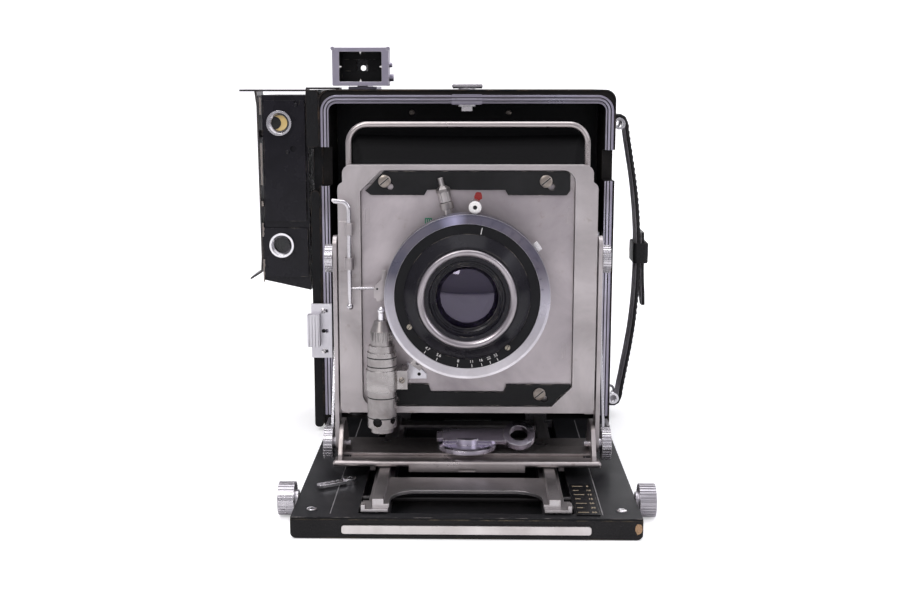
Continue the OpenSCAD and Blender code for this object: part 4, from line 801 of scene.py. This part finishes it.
# ------------------------------------------------------------------ small fittings
def fittings():
    y_bar = lo("board_catch").y
    S = Acc()
    for x, z, y in ((-38.5, 151.6, y_bar), (38.0, 151.6, y_bar), (36.0, 48.2, lo("board_lock").y)):
        screw(S, facing_front(x - 0.9, y - 0.45, z + 0.9), 3.0, 0.7, 0.5, 0, 1, 40)
    S.obj("board_screws", ["worn_screw", "dark"], "front", 35)
    yb = lo("lens_board").y
    R = Acc()
    rng = random.Random(11)
    ring = [(1.9 + rng.uniform(-0.3, 0.3)) for _ in range(14)]
    vs = [(0, 0, 0.35)] + [(r * math.cos(2 * math.pi * i / 14), r * 1.15 * math.sin(2 * math.pi * i / 14), 0.12) for i, r in enumerate(ring)] \
        + [(r * math.cos(2 * math.pi * i / 14), r * 1.2 * math.sin(2 * math.pi * i / 14), -0.2) for i, r in enumerate(ring)] + [(0, 0, -0.2)]
    fs = [[0, 1 + i, 1 + (i + 1) % 14] for i in range(14)] + [[1 + i, 15 + i, 15 + (i + 1) % 14, 1 + (i + 1) % 14] for i in range(14)] \
        + [[29, 15 + (i + 1) % 14, 15 + i] for i in range(14)]
    R.add(vs, fs, facing_front(5.0, yb, 145.2))
    R.obj("red_index", ["red"], "front", 30)
    Gm = Acc()
    Gm.box((-20.4, yb - 0.06, 134.3), (-17.0, yb + 0.1, 134.9), None, 0, 0.05)
    for i in range(4):
        Gm.box((-20.4 + i * 0.98, yb - 0.06, 131.6), (-19.94 + i * 0.98, yb + 0.1, 134.5), None, 0)
    Gm.obj("green_index", ["green"], "front", 30)
    # flash post cap
    F = Acc()
    M = facing_front(3.5, -165.5, LENS.z + 41.5)
    F.lathe([(1.0, -0.4), (1.0, 0.9), (1.3, 1.0), (2.5, 0.95), (2.9, 0.6), (2.9, -0.02), (1.0, -0.4)], 36, M, 0)
    F.lathe([(0, 0.35), (1.0, 0.35), (1.0, -0.2), (0, -0.2)], 20, M, 1)
    for k in range(22):
        F.box((2.7, -0.14, 0.0), (2.97, 0.14, 0.7), M @ Matrix.Rotation(2 * math.pi * k / 22, 4, "Z"), 0, 0.04)
    F.obj("flash_post_cap", ["white", "dark"], "front", 40)
    # release plate screws
    Q = Acc()
    yp = lo("release_plate").y
    for z in (71.0, 47.6):
        screw(Q, facing_front(-82.3, yp - 0.02, z), 1.5, 0.45, 0.3, 0, 1, z * 3)
    Q.lathe([(0, 0.02), (1.15, 0.02), (1.15, -0.4), (0, -0.4)], 20, facing_front(-82.3, yp, 59.4), 1)
    Q.obj("release_plate_screws", ["chrome2", "dark"], "root", 35)
    # interior of the finder mask: four centre marks and black throat
    T = Acc()
    cx, cz, yf = -60.2, 207.5, -36.0
    for dx, dz, sp in ((0, 7.6, 180), (0, -7.6, 0), (-11.2, 0, 90), (11.2, 0, 270)):
        M = facing_front(cx + dx, yf + 0.5, cz + dz, sp)
        T.add([(-0.7, -0.6, 0), (0.7, -0.6, 0), (0, 0.9, 0), (-0.7, -0.6, -0.3), (0.7, -0.6, -0.3), (0, 0.9, -0.3)],
              [[0, 1, 2], [3, 5, 4], [0, 3, 4, 1], [1, 4, 5, 2], [2, 5, 3, 0]], M)
    T.obj("finder_centre_marks", ["white"], "root", 30)
    U = Acc()
    def tube_rect(w, h, y0, y1, th, mat):
        U.box((cx - w / 2, y0, cz - h / 2), (cx - w / 2 + th, y1, cz + h / 2), None, mat)
        U.box((cx + w / 2 - th, y0, cz - h / 2), (cx + w / 2, y1, cz + h / 2), None, mat)
        U.box((cx - w / 2, y0, cz - h / 2), (cx + w / 2, y1, cz - h / 2 + th), None, mat)
        U.box((cx - w / 2, y0, cz + h / 2 - th), (cx + w / 2, y1, cz + h / 2), None, mat)
    tube_rect(23.6, 16.4, -35.2, -23.7, 0.25, 0)
    U.box((cx - 11.7, -23.9, cz - 8.1), (cx + 11.7, -23.65, cz - 2.2), None, 0)
    U.box((cx - 11.7, -23.9, cz + 4.2), (cx + 11.7, -23.65, cz + 8.1), None, 0)
    U.box((cx - 11.7, -23.9, cz - 2.2), (cx - 3.2, -23.65, cz + 4.2), None, 0)
    U.box((cx + 3.2, -23.9, cz - 2.2), (cx + 11.7, -23.65, cz + 4.2), None, 0)
    U.obj("finder_throat", ["black_matt"], "root", 30)
    # amber pane in the upper rangefinder window
    W = Acc()
    w = mid("rangefinder_windows")
    zt = hi("rangefinder_windows").z - 7
    M = facing_front(w.x, lo("rangefinder_windows").y + 3.2, zt)
    W.lathe([(0, 0.3), (2.4, 0.25), (4.35, 0), (4.35, -0.6), (0, -0.6)], 40, M, 0)
    Mk = facing_front(w.x - 2.6, lo("rangefinder_windows").y + 2.7, zt)
    W.lathe([(0, 0.1), (3.4, 0.1), (3.5, 0), (3.5, -0.3), (0, -0.3)], 40, Mk, 1)
    W.obj("rangefinder_pane", ["amber", "dark"], "root", 30)
    # strap-lug screws, body side screws
    L = Acc()
    for z in (175.5, 12.5):
        for s in (-1, 1):
            M = Matrix.Translation((hi("body_leather").x + 2.6, s * 6.5, z)) @ Matrix.Rotation(math.radians(90), 4, "Y")
            screw(L, M, 1.7, 0.5, 0.35, 0, 1, 20 * s)
    L.obj("lug_screws", ["chrome2", "dark"], "root", 35)


fittings()


def tube(acc, pts, r, mat=0, seg=14):
    """Round wire along a list of points, closed with small domes."""
    pts = [Vector(q) for q in pts]
    verts, faces, rows = [], [], []
    up = Vector((0, 1, 0))
    n = len(pts)
    for i, q in enumerate(pts):
        d = (pts[min(n - 1, i + 1)] - pts[max(0, i - 1)]).normalized()
        a = d.cross(up)
        if a.length < 1e-4:
            a = d.cross(Vector((1, 0, 0)))
        a.normalize()
        b = d.cross(a).normalized()
        k = 0.55 if i in (0, n - 1) else 1.0
        rows.append(len(verts))
        verts += [q + (a * math.cos(2 * math.pi * j / seg) + b * math.sin(2 * math.pi * j / seg)) * r * k for j in range(seg)]
    for i in range(n - 1):
        for j in range(seg):
            j2 = (j + 1) % seg
            faces.append([rows[i] + j, rows[i] + j2, rows[i + 1] + j2, rows[i + 1] + j])
    faces.append([rows[0] + j for j in range(seg)][::-1])
    faces.append([rows[-1] + j for j in range(seg)])
    acc.add(verts, faces, None, mat)


def plate(acc, pts, y0, y1, mat=0, bev=0.12):
    """Flat plate in the XZ plane from an outline, with softened edges."""
    bm = bmesh.new()
    f = bm.faces.new([bm.verts.new((x, y0, z)) for x, z in pts])
    ex = bmesh.ops.extrude_face_region(bm, geom=[f])
    bmesh.ops.translate(bm, verts=[g for g in ex["geom"] if isinstance(g, bmesh.types.BMVert)], vec=(0, y1 - y0, 0))
    bmesh.ops.recalc_face_normals(bm, faces=bm.faces)
    if bev:
        bmesh.ops.bevel(bm, geom=bm.edges[:], offset=bev, segments=2, profile=0.6, affect="EDGES")
    bm.verts.index_update()
    acc.add([tuple(v.co) for v in bm.verts], [[v.index for v in q.verts] for q in bm.faces], None, mat)
    bm.free()


def release_gear():
    """Release rod bent over at the top, its trip arm and lever plate."""
    R = Acc()
    x, y = -56.0, -152.0
    pts = [(x, y, z) for z in (93, 100, 110, 120, 130, 137, 139.6)]
    for k in range(1, 9):
        an = math.radians(90 * k / 8)
        pts.append((x - 3.4 * (1 - math.cos(an)), y, 139.6 + 3.6 * math.sin(an)))
    pts += [(x - 5.2, y, 143.35), (x - 6.8, y - 0.1, 143.6), (x - 8.0, y - 0.2, 144.3)]
    tube(R, pts, 1.1)
    tube(R, [(x, y, 102), (x + 5, y, 102), (x + 14, y, 102)], 0.8)
    R.lathe([(0, -1.6), (1.2, -1.25), (1.7, -0.4), (1.7, 0.4), (1.2, 1.25), (0, 1.6)], 20, Matrix.Translation((x, y, 93.2)))
    outline = [(-43.6, 98.4), (-43.6, 103.6), (-41.8, 105.6), (-40.0, 107.0), (-39.6, 111.6), (-37.6, 111.6), (-37.6, 106.6), (-38.4, 104.6), (-38.4, 98.4),
               (-39.2, 98.0), (-39.2, 96.6), (-42.4, 96.6), (-42.4, 98.0)]
    plate(R, [(px - 0.9, pz - 0.8) for px, pz in outline], y - 0.9, y + 0.5, 1)
    R.lathe([(0, 0.06), (0.5, 0.06), (0.5, -0.2), (0, -0.2)], 14, facing_front(-42.9, y - 0.9, 101.8), 2)
    R.obj("release_rod_bent", ["rod", "plate", "dark"], "rod", 50, "release_rod")
    B = Acc()
    yb = lo("lens_board").y
    plate(B, [(-29.4, 56.4), (-29.4, 64.4), (-25.0, 64.4), (-19.8, 58.9), (-19.8, 56.4)], yb - 1.3, yb + 0.1, 0, 0.2)
    B.lathe([(0, 0.05), (0.85, 0.05), (0.85, -0.3), (0, -0.3)], 20, facing_front(-23.4, yb - 1.3, 58.8), 1)
    B.obj("trip_bracket", ["alu", "dark"], "front", 30)
    # nut and collar on the cable release socket
    N = Acc()
    M = Matrix.Translation((LENS.x, -151.2, LENS.z)) @ Matrix.Rotation(math.radians(-13.5), 4, "Y")
    N.lathe([(1.7, 40.2), (3.3, 40.3), (3.4, 43.6), (2.2, 44.0), (1.7, 40.2)], 32, M, 0)
    N.lathe([(2.2, 44.0), (3.05, 44.3), (3.05, 48.4), (3.4, 48.8), (3.4, 50.2), (1.8, 51.6), (1.35, 51.8), (1.35, 55.3), (0.7, 55.5), (0.7, 44.0), (2.2, 44.0)], 6, M, 0)
    N.obj("cable_socket_nut", ["can"], "front", 25)


def bed_details():
    zt = hi("bed_panel").z
    S = Acc()
    for x, y, a in ((-69.5, -202, 38), (69.5, -202, 8), (-69.5, -60, 70), (69.5, -60, 120)):
        screw(S, Matrix.Translation((x, y, zt + 0.3)), 2.3, 0.35, 0.42, 0, 1, a)
    S.obj("bed_screws", ["chrome2", "dark"], "bed", 35)
    L = Acc()
    for x in (-60.6, 60.6):
        L.box((x - 0.14, lo("bed_panel").y + 5.2, zt - 0.25), (x + 0.14, -50.2, zt + 0.02))
    L.obj("bed_lines", ["pale_line"], "bed", 30)
    # distance scale: tick rows and small figures
    G = Acc()
    zs = hi("distance_scale").z
    for i in range(7):
        y = -205.8 + i * 6
        G.box((49.8, y - 0.16, zs - 0.02), (54.6 - (i % 2) * 2.2, y + 0.16, zs + 0.04))
        G.text(("50", "30", "20", "15", "12", "10", "8")[i], 2.2, Matrix.Translation((57.0, y, zs)), 0, 0.03)
    G.obj("distance_marks", ["gold_ink"], "bed", 30)
    # leather lifted off the right front corner, bare hide showing
    rng = random.Random(5)
    P = Acc()
    a, b = lo("bed_covering"), hi("bed_covering")
    ring = []
    for k in range(13):
        an = 2 * math.pi * k / 13
        ring.append((b.x - 2.0 + 1.7 * math.cos(an) * rng.uniform(0.75, 1.1), 5.0 + 2.6 * math.sin(an) * rng.uniform(0.8, 1.1)))
    plate(P, ring, a.y - 0.12, a.y + 0.3, 0, 0)
    P.obj("bare_corner", ["hide"], "bed", 40)


def finder_details():
    D = Acc()
    D.lathe([(0, 0.05), (1.5, 0.05), (1.5, -0.15), (0, -0.15)], 28, facing_front(-59.5, -24.05, 206.9))
    D.obj("eyepiece_daylight", ["glint"], "root", 30)
    yh = lo("rangefinder_housing").y
    W = Acc()
    for x, z in ((-102.1, 160.2), (-97.0, 186.4)):
        screw(W, facing_front(x, yh, z), 1.2, 0.35, 0.3, 0, 1, 60)
    W.obj("rangefinder_screws", ["black_gloss", "dark"], "root", 30)
    # bare metal showing along the left edge of the housing
    E = Acc()
    xl = lo("rangefinder_housing").x
    rng = random.Random(3)
    for z0, z1 in ((181.0, 190.5), (141.5, 165.0), (129.5, 132.5), (112.0, 120.0), (86.0, 99.0)):
        n = 8
        left = [(xl + 0.35 + rng.uniform(-0.1, 0.1), z0 + (z1 - z0) * i / n) for i in range(n + 1)]
        right = [(xl + 1.3 + rng.uniform(-0.3, 0.25), z1 - (z1 - z0) * i / n) for i in range(n + 1)]
        plate(E, left + right, yh - 0.05, yh + 0.1, 0, 0)
    E.obj("housing_worn_edge", ["worn_screw"], "root", 30)
    I = Acc()
    for x in (-33.4, 23.3):
        screw(I, facing_front(x, lo("bellows_frame").y if abs(lo("bellows_frame").y) < 60 else 20.0, 181.7), 1.6, 0.4, 0.3, 0, 1, 15)
    if lo("bellows_frame").z < 181.7 - 2 and hi("bellows_frame").z > 181.7 + 2:
        I.obj("interior_screws", ["worn_screw", "dark"], "root", 30)


def solenoid_details():
    """Knurl, clamp screw, and near-black rings and discs on the release solenoid: painted shade standing in for turned
    grooves and ports.
    """
    S = Acc()
    cx, cy = -40.5, -160.0
    T = Matrix.Translation((cx, cy, 0))
    # painted shade: near-black rings stand in for the turned grooves
    for z in (41.4, 51.2, 66.4, 70.6):
        S.lathe([(7.0, z - 0.28), (7.05, z - 0.2), (7.05, z + 0.2), (7.0, z + 0.28), (6.7, z + 0.28), (6.7, z - 0.28), (7.0, z - 0.28)], 64, T, 1)
    for k in range(30):
        R = T @ Matrix.Rotation(2 * math.pi * k / 30, 4, "Z")
        S.box((5.1, -0.22, 78.8), (5.5, 0.22, 82.8), R, 0, 0.05)
    screw(S, facing_front(cx + 9.6, cy - 1.85, 59.4), 1.5, 0.45, 0.32, 2, 1, 35)
    # painted shade: near-black discs stand in for the ports
    for dx, z, a, r in ((-1.8, 39.8, 0, 2.05), (0, 40.4, 52, 1.65)):
        M = T @ Matrix.Rotation(math.radians(a), 4, "Z") @ facing_front(dx, -4.4, z)
        S.lathe([(0, 0.0), (r, 0.0), (r, -0.5), (0, -0.5)], 28, M, 1)
    S.obj("solenoid_details", ["can", "dark", "worn_screw"], "front", 40)


solenoid_details()
release_gear()
bed_details()
finder_details()


# ------------------------------------------------------------------ stage, light, camera
def stage():
    me = bpy.data.meshes.new("floor")
    s = 4.0
    verts = [(-s, -s, 0), (s, -s, 0), (s, 1.2, 0)]
    # floor that sweeps up behind the object
    verts, faces = [], []
    prof = [(-3.0, 0.0), (0.9, 0.0)] + [(0.9 + 0.8 * math.sin(a), 0.8 * (1 - math.cos(a))) for a in [i * math.pi / 2 / 16 for i in range(1, 17)]] + [(1.7, 4.0)]
    for y, z in prof:
        verts += [(-4, y, z - 0.0004), (4, y, z - 0.0004)]
    for i in range(len(prof) - 1):
        faces.append([2 * i, 2 * i + 1, 2 * i + 3, 2 * i + 2])
    me.from_pydata(verts, [], faces)
    for p in me.polygons:
        p.use_smooth = True
    M = Mat("floor")
    n = M.noise(3, 3)
    lpn = M.t.nodes.new("ShaderNodeLightPath")
    M.set(Base_Color=M.mix(n, (0.90, 0.90, 0.905), (0.93, 0.93, 0.93)), Roughness=0.8, Emission_Color=(1, 1, 1),
          Emission_Strength=M.math("MULTIPLY", lpn.outputs["Is Camera Ray"], 0.42))
    me.materials.append(M.m)
    o = bpy.data.objects.new("floor", me)
    bpy.context.scene.collection.objects.link(o)


def area(name, loc, target, size, power, color=(1, 1, 1), sy=None):
    l = bpy.data.lights.new(name, "AREA")
    l.energy = power
    l.color = color
    l.size = size
    if sy:
        l.shape = "RECTANGLE"; l.size_y = sy
    o = bpy.data.objects.new(name, l)
    bpy.context.scene.collection.objects.link(o)
    o.location = loc
    o.rotation_euler = (Vector(target) - Vector(loc)).to_track_quat("-Z", "Y").to_euler()
    return o


stage()
sc = bpy.context.scene
w = bpy.data.worlds.new("soft")
w.use_nodes = True
wt = w.node_tree
bg = wt.nodes["Background"]
tc = wt.nodes.new("ShaderNodeTexCoord")
sx = wt.nodes.new("ShaderNodeSeparateXYZ")
wt.links.new(tc.outputs["Generated"], sx.inputs[0])
rp = wt.nodes.new("ShaderNodeValToRGB")
for i, (p_, c_) in enumerate([(0.0, (0.10, 0.10, 0.11)), (0.42, (0.16, 0.155, 0.17)), (0.60, (0.44, 0.43, 0.47)), (1.0, (0.62, 0.61, 0.66))]):
    if i > 1:
        rp.color_ramp.elements.new(p_)
    e_ = rp.color_ramp.elements[i]
    e_.position, e_.color = p_, (*c_, 1)
mr = wt.nodes.new("ShaderNodeMapRange")
mr.inputs["From Min"].default_value = -1
wt.links.new(sx.outputs["Z"], mr.inputs["Value"])
wt.links.new(mr.outputs["Result"], rp.inputs["Fac"])
lp = wt.nodes.new("ShaderNodeLightPath")
mx = wt.nodes.new("ShaderNodeMix")
mx.data_type = "RGBA"
wt.links.new(lp.outputs["Is Camera Ray"], mx.inputs[0])
wt.links.new(rp.outputs["Color"], mx.inputs[6])
mx.inputs[7].default_value = (1, 1, 1, 1)
wt.links.new(mx.outputs[2], bg.inputs[0])
bg.inputs[1].default_value = 1.0
sc.world = w
area("key", (-0.62, -1.15, 1.25), (0, -0.08, 0.08), 0.7, 9.5, (1, 0.985, 0.97))
area("fill", (1.15, -0.8, 0.75), (0, -0.08, 0.08), 0.8, 4.2, (0.95, 0.95, 1.0))
area("top", (0.0, 0.05, 1.5), (0, -0.05, 0.1), 1.1, 9.0, (0.98, 0.98, 1.0))
area("back", (0.5, 1.3, 0.9), (0, 0, 0.12), 1.0, 4)
area("front_low", (0.1, -1.7, 0.32), (0, 0, 0.09), 0.6, 1.8, (0.98, 0.96, 1.0)).visible_glossy = False

cam = bpy.data.cameras.new("camera")
cam.sensor_width = 36
cam.lens = 1228.0 / 900 * 36
cam.clip_start = 0.01
co = bpy.data.objects.new("camera", cam)
sc.collection.objects.link(co)
co.location = (0.0025, -0.72856, 0.1971)
co.rotation_euler = (math.radians(90 - 9.9), 0, math.radians(1.07))
sc.camera = co
sc.view_settings.view_transform = "Standard"
sc.view_settings.look = "None"
sc.view_settings.exposure = 0.0
